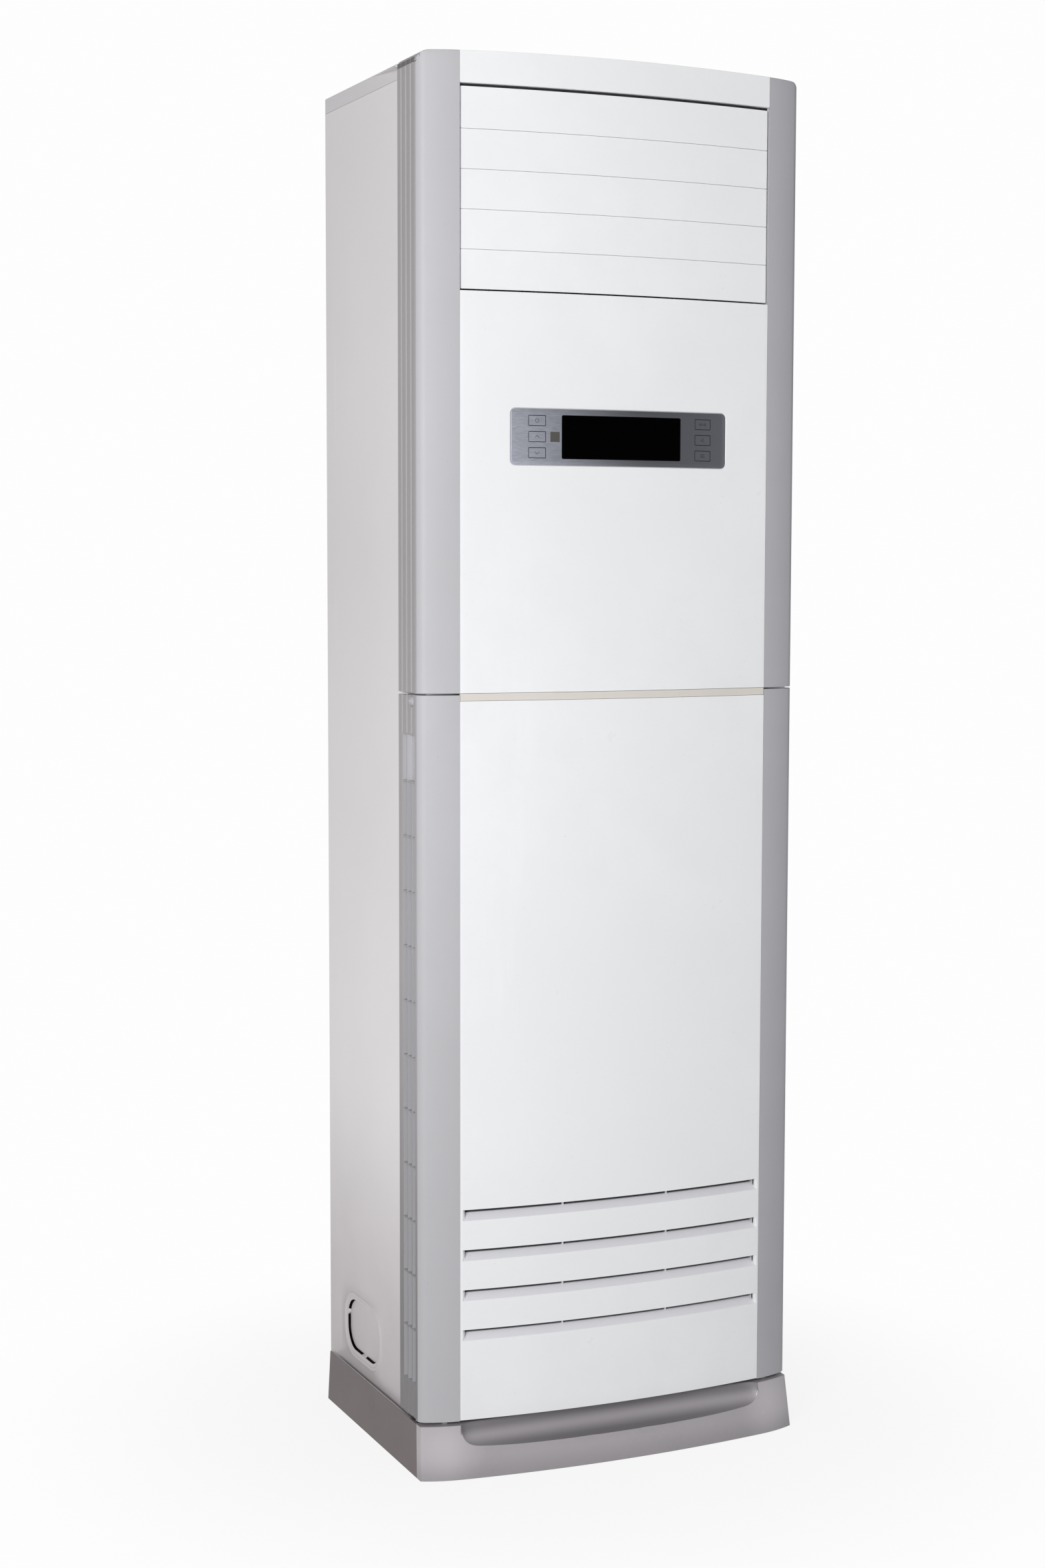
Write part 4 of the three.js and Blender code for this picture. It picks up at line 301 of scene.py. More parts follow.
def make(name, body, finishes, parts, stands_for, sharp=32):
    """One piece from its parts, with doubles merged and faces turned outwards. A part has points, faces, and
    the number of its finish where that isn't the first."""
    mesh = bpy.data.meshes.new(name)
    points, faces, looks = [], [], []
    for spots, corners, *look in parts:
        start = sum(map(len, points))
        points.append(np.asarray(spots, float).reshape(-1, 3) * 0.001)
        faces += [[i + start for i in face] for face in corners]
        looks += (look or [0]) * len(corners)
    mesh.from_pydata(joined(*points), [], faces)
    mesh.polygons.foreach_set("material_index", looks)
    work = bmesh.new()
    work.from_mesh(mesh)
    bmesh.ops.remove_doubles(work, verts=work.verts, dist=5e-6)
    bmesh.ops.dissolve_degenerate(work, edges=work.edges, dist=2e-6)
    bmesh.ops.recalc_face_normals(work, faces=work.faces)
    work.to_mesh(mesh)
    work.free()
    mesh.shade_smooth()
    mesh.set_sharp_from_angle(angle=math.radians(sharp))
    for finish in finishes:
        mesh.materials.append(finish.material)
    piece = placed(name, mesh)
    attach(piece, body)
    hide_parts(*stands_for)
    return piece


def finish_where(piece, index, chosen):
    """Gives another of the piece's finishes to each face whose middle, in millimetres, is chosen."""
    count = len(piece.data.polygons)
    middle, look = np.zeros(count * 3), np.zeros(count, int)
    piece.data.polygons.foreach_get("center", middle)
    piece.data.polygons.foreach_get("material_index", look)
    look[chosen(*middle.reshape(-1, 3).T * 1000)] = index
    piece.data.polygons.foreach_set("material_index", look)
    piece.data.update()


def toned(colour, factor):
    """A colour made lighter or darker by a factor."""
    return tuple(min(1, c * factor) for c in colour)


def moulded(name, colour, rough, grain=0.00004, foot_shade=0.0, foot_shade_span=(0.0, 0.5)):
    """Moulded plastic: a fine grain, slow changes of tone, rubbed marks, and painted shade that darkens it
    from the upper of two heights down to the lower one."""
    finish = Finish(name, colour, IOR=1.42)
    cloud = finish.noise(14, 4, rough=0.6)
    rub = finish.noise(9, 5, (1, 1, 0.12), 0.7).between(0.62, 0.78)
    speck = finish.noise(260, 1).between(0.74, 0.8)
    tone = finish.mix(finish.noise(2.2, 3).between(0.3, 0.7), toned(colour, 0.972), toned(colour, 1.022))
    tone = finish.mix(cloud.between(0.35, 0.75) * 0.5, tone, toned(colour, 0.965))
    tone = finish.mix(rub * 0.35, tone, toned(colour, 1.06))
    # Painted shade: the colour darkens towards the bottom, from the upper height down to the lower one
    painted_foot_shade = (1 - finish.along("z").between(*foot_shade_span)) * foot_shade * (0.9 + cloud * 0.2)
    finish.set("Base Color", finish.mix((painted_foot_shade + speck * 0.1).least(1), tone, toned(colour, 0.35)))
    finish.set("Roughness", rough + (cloud - 0.5) * 0.12 + rub * 0.08)
    finish.bump(finish.noise(1900, 2), grain, 0.5)
    return finish


def lay_painted_light(finish, share, colour):
    """Paints light or shade: lays a colour over the finish's own, where share is near 1."""
    tone = Socket(finish, finish.shader.inputs["Base Color"].links[0].from_socket)
    finish.set("Base Color", finish.mix(share, tone, colour))


plinth_plastic = moulded("plinth_grey", (0.372, 0.35, 0.37), 0.26, 0.00005, 0.3, (0.0, 0.03))
plinth_plastic.set("IOR", 1.55)
# Painted shade: a much darker copy of the plinth's plastic for its sides
flank_shaded_plastic = moulded("plinth_flank_painted_shade", (0.164, 0.134, 0.135), 0.5, 0.00005)
# Painted shade: a darker copy of the plinth's plastic for the scoop
scoop_shaded_plastic = moulded("plinth_scoop_painted_shade", (0.35, 0.33, 0.35), 0.42)

# Painted highlight: each front shoulder of the plinth is paler where a lamp's reflection falls
off = ((abs(plinth_plastic.along("x")) - 0.236) ** 2 + (plinth_plastic.along("z") - 0.042) ** 2) ** 0.5
lay_painted_light(plinth_plastic, (1 - off / 0.06).most(0).between(0, 1) * 0.55, (0.6, 0.57, 0.6))
# Painted shade: the scoop is darkened above and below, and left light only along its middle
band = (1 - abs(scoop_shaded_plastic.along("z") - 0.05) / 0.012).most(0).between(0, 1)
lay_painted_light(scoop_shaded_plastic, (1 - band) * 0.92, (0.19, 0.18, 0.19))

bow_end = math.asin(PANEL_HALF / BOW_R)
shoulder = arc((0, BOW_Y), BOW_R - SHOULDER_R, bow_end)
shoulder_end = math.asin((PILLAR_X - CORNER_R - shoulder[0]) / (SHOULDER_R - CORNER_R))
corner = arc(shoulder, SHOULDER_R - CORNER_R, shoulder_end)

RIM_Z, RIM_HALF, RIM_PROUD, TOE_HALF, TOE, DECK_Y = 67.7, 267.5, 2, 271, 10.5, -148
SCOOP_Y, SCOOP_Z, SCOOP_DEPTH, SCOOP_HEIGHT = -199.5, 79.5, 30, 43
SCOOP_FLAT, SCOOP_ROUND, HINGE = 190, 36, (-160, 80)


def plinth_rim():
    """The rim from above: the front arc, the shoulder out to the sharp corner, then the straight side."""
    x = lines((0, 6), (186, 1.2), (PANEL_HALF, 0))[:-1]
    radius = SHOULDER_R + RIM_PROUD
    side = arc(shoulder, radius, np.linspace(bow_end, math.asin((RIM_HALF - shoulder[0]) / radius), 18))
    tip = side[-1] + (0, 0.9)
    side[-1, 0] -= 0.45
    flank = stacked(RIM_HALF, np.linspace(tip[1] + 12, 181, 14))
    right = joined(stacked(x, bow(x, -RIM_PROUD)), side, [tip], flank)
    return joined(right[:0:-1] * (-1, 1), right)


def scoop_y(x, z):
    """Depth of the scoop's surface: half an ellipse seen from the side, closed at its ends as a rounded box
    is. Far in front of the unit where there is no scoop."""
    up = (SCOOP_Z - z) / SCOOP_HEIGHT
    out = np.maximum(0, abs(x) - SCOOP_FLAT) / SCOOP_ROUND
    reach = (up ** 3 + out ** 3) ** (2 / 3)
    return SCOOP_Y + SCOOP_DEPTH * np.sqrt(np.maximum(0, 1 - reach)) - 1e3 * (reach >= 1)


def plinth_skin(height):
    """The shell's outside at the heights of a grid, on straight lines from the toe to the rim, with the
    scoop's depth at the same places."""
    share = height / RIM_Z
    x = rim[:, 0] * (share + (1 - share) * TOE_HALF / RIM_HALF)
    y = rim[:, 1] - np.where(rim[:, 1] < -140, TOE, 0) * (1 - share)
    return x, y, scoop_y(x, height)


def scoop_foot():
    """The height at which the shell meets the scoop, for each column."""
    heights = np.linspace(RIM_Z, 30, 760)[:, None]
    x, y, scoop = plinth_skin(heights)
    deeper = scoop > y
    last = len(heights) - 1 - deeper[::-1].argmax(0)
    return np.where(deeper.any(0), heights[last, 0], 55.0)


rim = plinth_rim()
foot = scoop_foot()
below = np.array([0, 0.02, 0.25, 0.5, 0.75, 0.95, 1.0])[:, None]
above = np.linspace(0, 1, 22)[1:, None] ** 0.8
heights = joined(below * foot, foot + above * (RIM_Z - foot))
x, y, scoop = plinth_skin(heights)
outer = stacked(x, np.maximum(y, scoop), heights)
edge = outer[-1]
in_front = rim[:, 1] < DECK_Y
inward = np.where(in_front, 0, -WALL * np.sign(rim[:, 0]))
deck = stacked(edge[:, 0] + inward, np.where(in_front, DECK_Y, edge[:, 1]), RIM_Z)
rounding = [edge - (0, 0, 0.5), edge + stacked(inward * 0.1, in_front * 0.5, 0)]
outer = joined(outer[:-1], rounding, [deck])
inner = outer * (1 - WALL / RIM_HALF, 1, 1)
inner[:, in_front, 1] += WALL
inner[-2:, :, 2] -= WALL
inner[-1, :, 1] = outer[-1, :, 1]
lug = [block((230, 236), (-165, -155), (66.7, 85)), rod("x", (231, 245), HINGE, 3)]
shell = make("base_plinth_shell", "cabinet", [plinth_plastic, flank_shaded_plastic, scoop_shaded_plastic],
             [slab(outer, inner), *lug, *map(mirrored, lug)], ["base_plinth"], 38)
# Painted shade: the plinth's sides take the darker copy of its plastic
finish_where(shell, 1, lambda x, y, z: (abs(x) > 266) & (y > -150))
# Painted shade: the scoop's faces take the darker copy
finish_where(shell, 2, lambda x, y, z: (abs(y - scoop_y(x, np.minimum(z, SCOOP_Z))) < 2)
             & (z > np.interp(x, rim[in_front, 0], foot[in_front]) - 0.3))

# -------- Steel sheets
# The sides and back are pressed from 1 mm sheet with baked enamel. Each side has a knock-out for the
# pipes low down: a raised bead round a plate that is held by four tabs.
SIDE_X, SIDE_FRONT, BACK_Y, SHEET_FOOT, SHEET_TOP, SHEET = 258, -99, 205, 14, 1779.7, 1
HOLE_MIDDLE, HOLE_HALF, HOLE_ROUND = (73, 125.2), (72.3, 46.5), 41
PATCH_Y, PATCH_Z = (-9, 168), (65, 187)
BEAD, SLIT_OUTSIDE, SLIT_INSIDE = 7, -0.5, -4


def enamel(name, colour, rough):
    """Baked enamel: a slight orange peel, slow changes of tone, thin drawn scratches, and painted shade low
    down.
    """
    finish = Finish(name, colour, IOR=1.5)
    cloud = finish.noise(11, 4, rough=0.6)
    scratch = finish.noise(38, 3, (1, 1, 0.05), 0.6).between(0.72, 0.77)
    tone = finish.mix(finish.noise(1.6, 3).between(0.3, 0.7), toned(colour, 0.965), toned(colour, 1.02))
    tone = finish.mix(scratch * 0.25, tone, toned(colour, 1.1))
    # Painted shade: the colour darkens and warms towards the bottom, from 50 cm down to 6 cm
    foot_shade = (1 - finish.along("z").between(0.06, 0.5)) * (0.45 + cloud * 0.14)
    finish.set("Base Color", finish.mix(foot_shade, tone, (0.27, 0.225, 0.23)))
    finish.set("Roughness", rough + (cloud - 0.5) * 0.14)
    finish.bump(finish.noise(420, 2), 0.00006, 0.35)
    return finish


def round_box(y, z, middle, half, radius):
    """Distance of a point outside a rectangle with round corners, less than 0 inside it."""
    over_y = abs(y - middle[0]) - half[0] + radius
    over_z = abs(z - middle[1]) - half[1] + radius
    beyond = np.hypot(np.maximum(over_y, 0), np.maximum(over_z, 0))
    return beyond + np.minimum(np.maximum(over_y, over_z), 0) - radius


def middles(x, z):
    """The x and z of the middles of a grid's cells."""
    return np.meshgrid((x[1:] + x[:-1]) / 2, (z[1:] + z[:-1]) / 2)


def within(values, low, high):
    return (values > low) & (values < high)


def four_sides(x, z):
    """The points along a grid's edges, once round: below, right, above and left."""
    return [stacked(x, z[0]), stacked(x[-1], z), stacked(x[::-1], z[-1]), stacked(x[0], z[::-1])]


def knock_out():
    """Rings of points from the patch's edge in to the middle. Each keeps its distance from the bead's outline
    along the lines to the middle, and the bead rises as half a sine."""
    patch = lines((PATCH_Y[0], 6), (PATCH_Y[1], 0)), lines((PATCH_Z[0], 6), (PATCH_Z[1], 0))
    edge = joined(*[side[:-1] for side in four_sides(*patch)])
    spokes = edge - HOLE_MIDDLE
    bead = np.arange(BEAD + 1)
    insets = np.array([*bead, 8.5, 10.5, 11.2, 11.5, 12.9, 13.2, 14, 24, 34])[:, None]
    share = np.zeros((len(insets), len(edge)))
    for step in 0.5 ** np.arange(1, 41):
        y, z = np.moveaxis(HOLE_MIDDLE + spokes * (share + step)[..., None], -1, 0)
        share += step * (round_box(y, z, HOLE_MIDDLE, HOLE_HALF, HOLE_ROUND) <= -insets)
    share = joined(share, np.full((1, len(edge)), 0.02))
    rings = joined([edge], HOLE_MIDDLE + spokes * share[..., None])
    raised = 1.7 * np.sin(bead / BEAD * np.pi) ** 0.8
    return rings, np.array([0, *raised, 0, 0, -0.1, SLIT_OUTSIDE, SLIT_INSIDE, -3.7] + [-3.6] * 4)


def side_sheet():
    """The sheet as one skin: a grid with a hole where the knock-out's rings fit, and a folded front edge."""
    y = lines((SIDE_FRONT, 1), (SIDE_FRONT, 1), (SIDE_FRONT + 0.6, 18), (PATCH_Y[0], 6), (PATCH_Y[1], 18),
              (BACK_Y - 0.6, 1), (BACK_Y, 0))
    z = lines((SHEET_FOOT, 1), (SHEET_FOOT + 1, 12), (PATCH_Z[0], 6), (PATCH_Z[1], 60),
              (SHEET_TOP - 0.6, 1), (SHEET_TOP, 0))
    grid = stacked(SIDE_X, *np.meshgrid(y, z))
    grid[:, :2, 0] -= 0.5
    grid[:, 0] += (-13, 0.1, 0)
    cell_y, cell_z = middles(y, z)
    hole = within(cell_y, *PATCH_Y) & within(cell_z, *PATCH_Z)
    rings, lift = knock_out()
    stations, count = rings.shape[:2]
    points = stacked(SIDE_X + lift[:, None], rings[..., 0], rings[..., 1])
    cell = cells(stations, count, around=True)
    slit = lift.tolist().index(SLIT_OUTSIDE)
    off = abs(rings[slit] - HOLE_MIDDLE - (0, 12))
    tab = (off[:, 0] < 4) | (off[:, 1] < 3)
    gap = np.zeros(cell.shape[:2], bool)
    gap[slit] = ~(tab | np.roll(tab, -1))
    faces = cell[~gap].tolist() + [list(range((stations - 1) * count, stations * count))]
    return [(grid, cells(*grid.shape[:2])[~hole].tolist()), (points, faces)]


side_enamel = enamel("side_enamel", (0.85, 0.82, 0.832), 0.38)
sheet = side_sheet()
for side, parts in (("right", sheet), ("left", map(mirrored, sheet))):
    piece = make(side + "_side_sheet", "cabinet", [side_enamel], parts,
                 [side + "_side_panel"], 50)
    wall = piece.modifiers.new("wall", "SOLIDIFY")
    wall.thickness, wall.offset, wall.use_even_offset = SHEET * 0.001, -1, True

# The back has four beads pressed across it, and is held by two rows of screws.
back_enamel = enamel("back_enamel", (0.8, 0.775, 0.79), 0.42)
screw_zinc = Finish("screw_zinc", (0.55, 0.56, 0.57), Metallic=0.85)
screw_zinc.set("Roughness", 0.32 + screw_zinc.noise(600, 2) * 0.2)


def back_sheet():
    """A grid whose depth rises by half a cosine over each bead, and fades out at the bead's ends."""
    bead_z = np.array([300.0, 700.0, 1100.0, 1500.0])
    near = np.linspace(-14, 14, 15)
    z = np.sort(joined(lines((SHEET_FOOT, 80), (SHEET_TOP, 0)), (bead_z[:, None] + near).ravel()))
    x = lines((-256.7, 1), (-256, 20), (-215, 4), (-190, 38), (190, 4), (215, 20), (256, 1), (256.7, 0))
    xs, zs = np.meshgrid(x, z)
    across = np.clip((abs(xs) - 190) / 25, 0, 1)
    off = np.min(abs(zs[..., None] - bead_z), -1)
    width = 12 * np.sqrt(1 - across ** 2) + 0.01
    rise = 0.9 * np.where(off < width, np.cos(off / width * np.pi / 2) ** 2, 0)
    return slab(stacked(xs, BACK_Y - SHEET, zs), stacked(xs, BACK_Y - rise, zs))


def pan_screw(x, z):
    """A cross-head screw in the back: a low dome with a cross cut into it."""
    share = np.array([0.0, 0.3, 0.62, 0.85, 0.97, 1.0])[:, None]
    up = 0.85 * np.sqrt(1 - share ** 2 * 0.92) * (share < 1)
    spoke = np.arange(16)
    angle = spoke * np.pi / 8
    up = up - 0.7 * ((share < 0.7) & (spoke % 4 == 0))
    radius = share * 3.6
    points = stacked(x + radius * np.cos(angle), BACK_Y - 0.9 + up, z + radius * np.sin(angle))
    return points, cells(6, 16, around=True).reshape(-1, 4).tolist() + [list(range(80, 96))], 1


screws = [pan_screw(x, z) for x in (-246, 246) for z in (40, 480, 900, 1320, 1755)]
make("back_sheet", "cabinet", [back_enamel, screw_zinc], [back_sheet(), *screws],
     ["rear_panel"], 40)

# -------- Pillars
# Grey moulded corner pillars, an upper and a lower one on each side, smooth in front and fluted on the
# side. In the lower ones the flutes give way to the intake grille, with a finger grip on top.
pillar_plastic = moulded("pillar_grey", (0.495, 0.49, 0.512), 0.5, 0.00004, 0.17, (0.0, 0.9))
# Painted shade: the pillars on the right side are darkened towards a dark blue-grey
lay_painted_light(pillar_plastic, pillar_plastic.along("x").between(0.0, 0.3) * 0.2, (0.225, 0.205, 0.262))
# Painted shade: a darker copy of the pillar plastic for the fluted sides, darkest low down
flute_shaded_plastic = moulded("flute_grey_painted_shade", (0.405, 0.388, 0.396), 0.55, 0.00006, 0.74, (0.12, 0.68))
# Painted shade: a dark strip on the side just under the cap, where the flutes end
cap_joint_painted_shade = moulded("cap_joint_painted_shade", (0.16, 0.155, 0.16), 0.6)

PILLAR_START, BAND_FRONT, BAND_REAR, PILLAR_REAR = 217.3, corner[1], -104, -91
GRILLE_Y, GRILLE_Z, ROW, ROWS, BAR = (-151, -105), 118, 70.8, 11, 1.8
COLUMN = (GRILLE_Y[1] - GRILLE_Y[0]) / 3
GRIP = (GRILLE_Z + ROWS * ROW, GRILLE_Z + ROWS * ROW + 60)
CAP_FOOT, BAND_X, TOP_Z, CROWN = 1791, 264, 1800, 3


def merged(runs, least=0.25):
    """The lines of some runs in order, without those that are too close to the one before."""
    values = np.unique(np.round(joined(*runs), 3))
    return values[joined([True], np.diff(values) > least)]


def pillar_front(inset):
    """The smooth part from above: the shoulder's arc, then the round corner."""
    start = math.asin((PILLAR_START - shoulder[0]) / (SHOULDER_R - inset))
    bend = arc(shoulder, SHOULDER_R - inset, np.linspace(start, shoulder_end, 22))
    return joined(bend, arc(corner, CORNER_R - inset, np.linspace(shoulder_end, np.pi / 2, 12))[1:])


# Places across the side, with lines at the edges of the openings and the grooves
openings = [(GRILLE_Y[0] + c * COLUMN + BAR / 2, GRILLE_Y[0] + (c + 1) * COLUMN - BAR / 2) for c in range(3)]
grooves = BAND_FRONT + np.arange(1, 4) * (BAND_REAR - BAND_FRONT) / 3
beside = np.array([-2.6, -1.7, -1, -0.4, 0.4, 1, 1.7, 2.6])
band_y = merged([lines((BAND_FRONT, 2.4), (BAND_REAR, 0)), *[np.linspace(a, b, 6) for a, b in openings],
                 *[groove + beside for groove in grooves], np.arange(-145.3, -126, 0.7),
                 [GRILLE_Y[0] - 0.9, GRILLE_Y[1] + 0.9]])
side_y = joined(band_y, [-101.1, -98.0, -92.0, -91.4, PILLAR_REAR])
smooth = len(pillar_front(0))


def pillar_wall(z, fade, inner_x, eased_rows, sink=0.0):
    """The wall's outside and inside: the outline from above, at each height z. Each groove is a bell curve of
    its distance, which fade makes shallow. Sink presses the side in, and eased rows lie 0.5 mm further in."""
    off = np.min(abs(side_y[:, None] - grooves), -1)
    flute = 0.3 * np.clip(1 - off / 5, 0, 1) + 1.5 * np.exp(-off ** 2)
    side_x = PILLAR_X - 2 - flute * fade - sink - 0.8 * (side_y > -91.3) + np.zeros((len(z), 1))
    walls = []
    for x, inset in ((side_x, 0), (np.minimum(inner_x, side_x - 1.4), WALL)):
        front = np.broadcast_to(pillar_front(inset), (len(z), smooth, 2))
        outline = joined(front, stacked(x, side_y), axis=1)
        walls.append(stacked(outline[..., 0], outline[..., 1], z[:, None]))
    walls[0][eased_rows, :smooth, 1] += 0.5
    walls[0][eased_rows, smooth:, 0] -= 0.5
    return walls


def crown(x):
    """Height of the front's top edge: a parabola, then a quarter of an ellipse at the outer corners."""
    x = abs(np.asarray(x, float))
    past = np.clip((x - 255) / 12.6, 0, 1)
    return TOP_Z + CROWN * (1 - (np.minimum(x, 258.5) / PILLAR_X) ** 2) - 12 * (1 - np.sqrt(1 - past ** 2))


def upper_pillar():
    """The wall up to the cap, and the cap's section from front to back, carried across."""
    z = lines((1009.7, 1), (1010.2, 2), (1012, 60), (1788, 1), (1789, 5), (1793.1, 1), (1793.8, 0))
    walls = pillar_wall(z, 1.0, PILLAR_X - 5, [0])
    line = pillar_front(0)
    keep = line[:, 0] <= 264.6
    top = np.where(keep, CAP_FOOT, np.minimum(1796, crown(line[:, 0])))
    for grid in walls:
        grid[-3:, :smooth, 2] = top - np.array([[2], [0.3], [0]])
    x, y = line[keep].T
    top = crown(x)
    ease = (0, 1.2), (0.12, 0.65), (0.42, 0.25), (1.1, 0)
    section = [(y, CAP_FOOT), *[(y + back, np.maximum(top - drop, CAP_FOOT + 0.05)) for back, drop in ease],
               (-120, top), (PILLAR_REAR, top), (PILLAR_REAR, CAP_FOOT)]
    cap = np.stack([stacked(x, back, height) for back, height in section], 1)
    return [slab(*walls), carried(cap), block((258.3, 264), (-94, -91.2), (1010, 1790))]


def lower_pillar():
    """The wall with the grille's openings left out, a pressed oval for the screw, and the hook that turns on
    the plinth's lug."""
    rows = [GRILLE_Z + r * ROW + s * BAR / 2 for r in range(ROWS + 1) for s in (-1, 1)]
    z = merged([[72.5, 72.9, 74, 90, 104, 112], rows, np.linspace(118.9, 124, 6),
                np.linspace(GRIP[1] - 5, GRIP[1], 6), [GRIP[1] + 2, GRIP[1] + 4],
                lines((970, 6), (991, 0.6), (1005.6, 0)), [1006, 1006.3]])
    in_grille = within(z[:, None], GRILLE_Z - 2.5, GRIP[1] + 2) & (side_y < GRILLE_Y[1] + 1.2)
    oval = round_box(side_y, z[:, None], (-135.5, 999), (8, 6.5), 6.3)
    fade = np.where(in_grille | (oval < 1.5), 0, 1)
    sink = 5.6 * np.clip(-oval / 0.5 + 0.5, 0, 1)
    inner_x = np.where(in_grille & (side_y > GRILLE_Y[0] - 1.2), 259.8, PILLAR_X - 5 - 5 * (sink > 0))
    walls = pillar_wall(z, fade, inner_x, [0, -1], sink)
    for grid in walls:
        grid[-3:, :, 2] += 1.2 * np.clip((-118 - grid[-3:, :, 1]) / 20, 0, 1)
    cell_y, cell_z = middles(side_y, z)
    in_row = within(cell_z, GRILLE_Z, GRIP[0]) & within((cell_z - GRILLE_Z) % ROW, BAR / 2, ROW - BAR / 2)
    in_grip = within(cell_z, GRIP[0] + BAR / 2, GRIP[1])
    keep = np.ones((len(z) - 1, walls[0].shape[1] - 1), bool)
    for level, spans in ((in_row, openings), (in_grip, [(openings[0][0], openings[1][1]), openings[2]])):
        for span in spans:
            keep[:, smooth:] &= ~(level & within(cell_y, *span))
    angle = np.linspace(-np.pi / 2, np.pi / 2, 9)
    bore = stacked(HINGE[0] + 3.3 * np.sin(angle), HINGE[1] + 3.3 * np.cos(angle))
    hook = []
    for x in (237, 245):
        front = shoulder[1] - math.sqrt((SHOULDER_R - 1.5) ** 2 - (x - shoulder[0]) ** 2)
        outline = [(front, 74), (-163.3, 74), *bore, (-156.7, 74), (-153, 74), (-153, 88), (front, 88)]
        hook.append([(x, *spot) for spot in outline])
    return [slab(*walls, keep), carried(np.array(hook)), block((258.3, 264), (-94, -91.2), (73, 1006)),
            block((258.6, 260), (GRILLE_Y[0] - 2, GRILLE_Y[1] + 2), (GRIP[0] - 1, GRIP[1] + 3))]


for side in ("right", "left"):
    for height, body, parts in (("upper", "cabinet", upper_pillar()),
                                ("lower", "intake_panel", lower_pillar())):
        node = f"{side}_{height}_pillar"
        if side == "left":
            parts = map(mirrored, parts)
        pillar = make(node + "_moulding", body, [pillar_plastic, flute_shaded_plastic, cap_joint_painted_shade],
                      parts, [node], 28)
        # Painted shade: the fluted side bands take the darker copy of the pillar plastic
        finish_where(pillar, 1, lambda x, y, z: (y > BAND_FRONT - 4.5) & (abs(x) > BAND_X))
        # Painted shade: the dark strip lies on the side faces just under the cap
        finish_where(pillar, 2, lambda x, y, z: within(y, BAND_FRONT + 0.05, -92)
                     & within(z, 1788.5, 1793.5) & (abs(x) > BAND_X))

# -------- Upper front panel
# White panel that follows the bow: a face with a recess for the controls, and above the outlet the
# crowned fascia, its soffit and a black strip of painted shade. The louvres swing between its two rails.
white_plastic = moulded("panel_white", (0.86, 0.868, 0.885), 0.3, 0.00003, 0.1)
outlet_gap_painted_shade = moulded("outlet_gap_painted_shade", (0.02, 0.02, 0.022), 0.8, 0.0002)

EDGE = 0.35
FACE_HALF = PANEL_HALF - EDGE
PLATE_MIDDLE, PLATE_HALF = 1331, (151.4, 35)
UPPER_FOOT, OUTLET_FOOT, OUTLET_TOP, RAIL_TOP = 1010, 1509.7, 1762, 1788


def plate(x, z, corner, inset, thick, edge, keep=None, near=0):
    """A moulded plate on the bow: a grid of x and z lines, a rim that reaches corner outside them with round
    corners, and a front edge rounded by a quarter circle. Near is each point's depth behind inset."""
    xs, zs = np.meshgrid(x, z)
    skins = [stacked(xs, bow(xs, inset + near + deep), zs) for deep in (0, thick)]
    face, faces = slab(*skins, keep, walls=False)
    bend = np.linspace(0, np.pi / 2, 6)[1:-1]
    ways = np.array([(0, -1), (1, 0), (0, 1), (-1, 0)])
    base, out = [], []
    for spots, way, after in zip(four_sides(x, z), ways, np.roll(ways, -1, 0)):
        base += [spots, np.repeat(spots[-1:], len(bend), 0)]
        turned = np.outer(np.cos(bend), way) + np.outer(np.sin(bend), after)
        out += [np.broadcast_to(way, spots.shape), turned]
    base, out = joined(*base), joined(*out)
    curve = np.linspace(0, np.pi / 2, 5)
    reach = joined([0], corner - edge + edge * np.sin(curve), [corner, 0])
    behind = joined([0], edge - edge * np.cos(curve), [thick, thick])[:, None]
    spots = base + out * reach[:, None, None]
    rim = stacked(spots[..., 0], bow(spots[..., 0], inset + behind), spots[..., 1])
    rim_faces = cells(len(reach), len(base), around=True).reshape(-1, 4)[:, ::-1]
    return joined(face, rim.reshape(-1, 3)), faces + (rim_faces + len(face)).tolist()


def tile(x, z, corner, inset, thick, edge, steps):
    """A plain plate between two x and two z. Steps are the spacing of its lines across and up."""
    xs, zs = [lines((low + corner, step), (high - corner, 0)) for (low, high), step in zip((x, z), steps)]
    return plate(xs, zs, corner, inset, thick, edge)


def upper_face():
    """The face below the outlet, which sinks 1.5 mm under the control plate."""
    x = lines((-FACE_HALF, 7), (-153.5, 0.6), (-143.5, 7), (143.5, 0.6), (153.5, 7), (FACE_HALF, 0))
    z = lines((UPPER_FOOT + EDGE, 30), (1293.5, 0.6), (1304, 6), (1358, 0.6), (1368.5, 28),
              (OUTLET_FOOT - EDGE, 0))
    xs, zs = np.meshgrid(x, z)
    gap = round_box(xs, zs, (0, PLATE_MIDDLE), (PLATE_HALF[0] + 0.7, PLATE_HALF[1] + 0.7), 6.7)
    cell_x, cell_z = middles(x, z)
    keep = ~((abs(cell_x) < 132) & (abs(cell_z - PLATE_MIDDLE) < 29))
    return plate(x, z, EDGE, 0, 3, EDGE, keep, 1.5 * np.clip(0.5 - gap, 0, 1))


def shelf(x, front, rear, z):
    """A level plate between two depths, the front one given for each x."""
    share = np.linspace(0, 1, 5)[:, None]
    top = stacked(x, front * (1 - share) + rear * share, z[1])
    return slab(top, top - (0, 0, z[1] - z[0]))


def rail(z):
    """The lap behind a white face's right edge, between two heights."""
    return [block((210.9, 216.8), (-177, -171), z), block((210.9, 222), (-174, -171), z)]


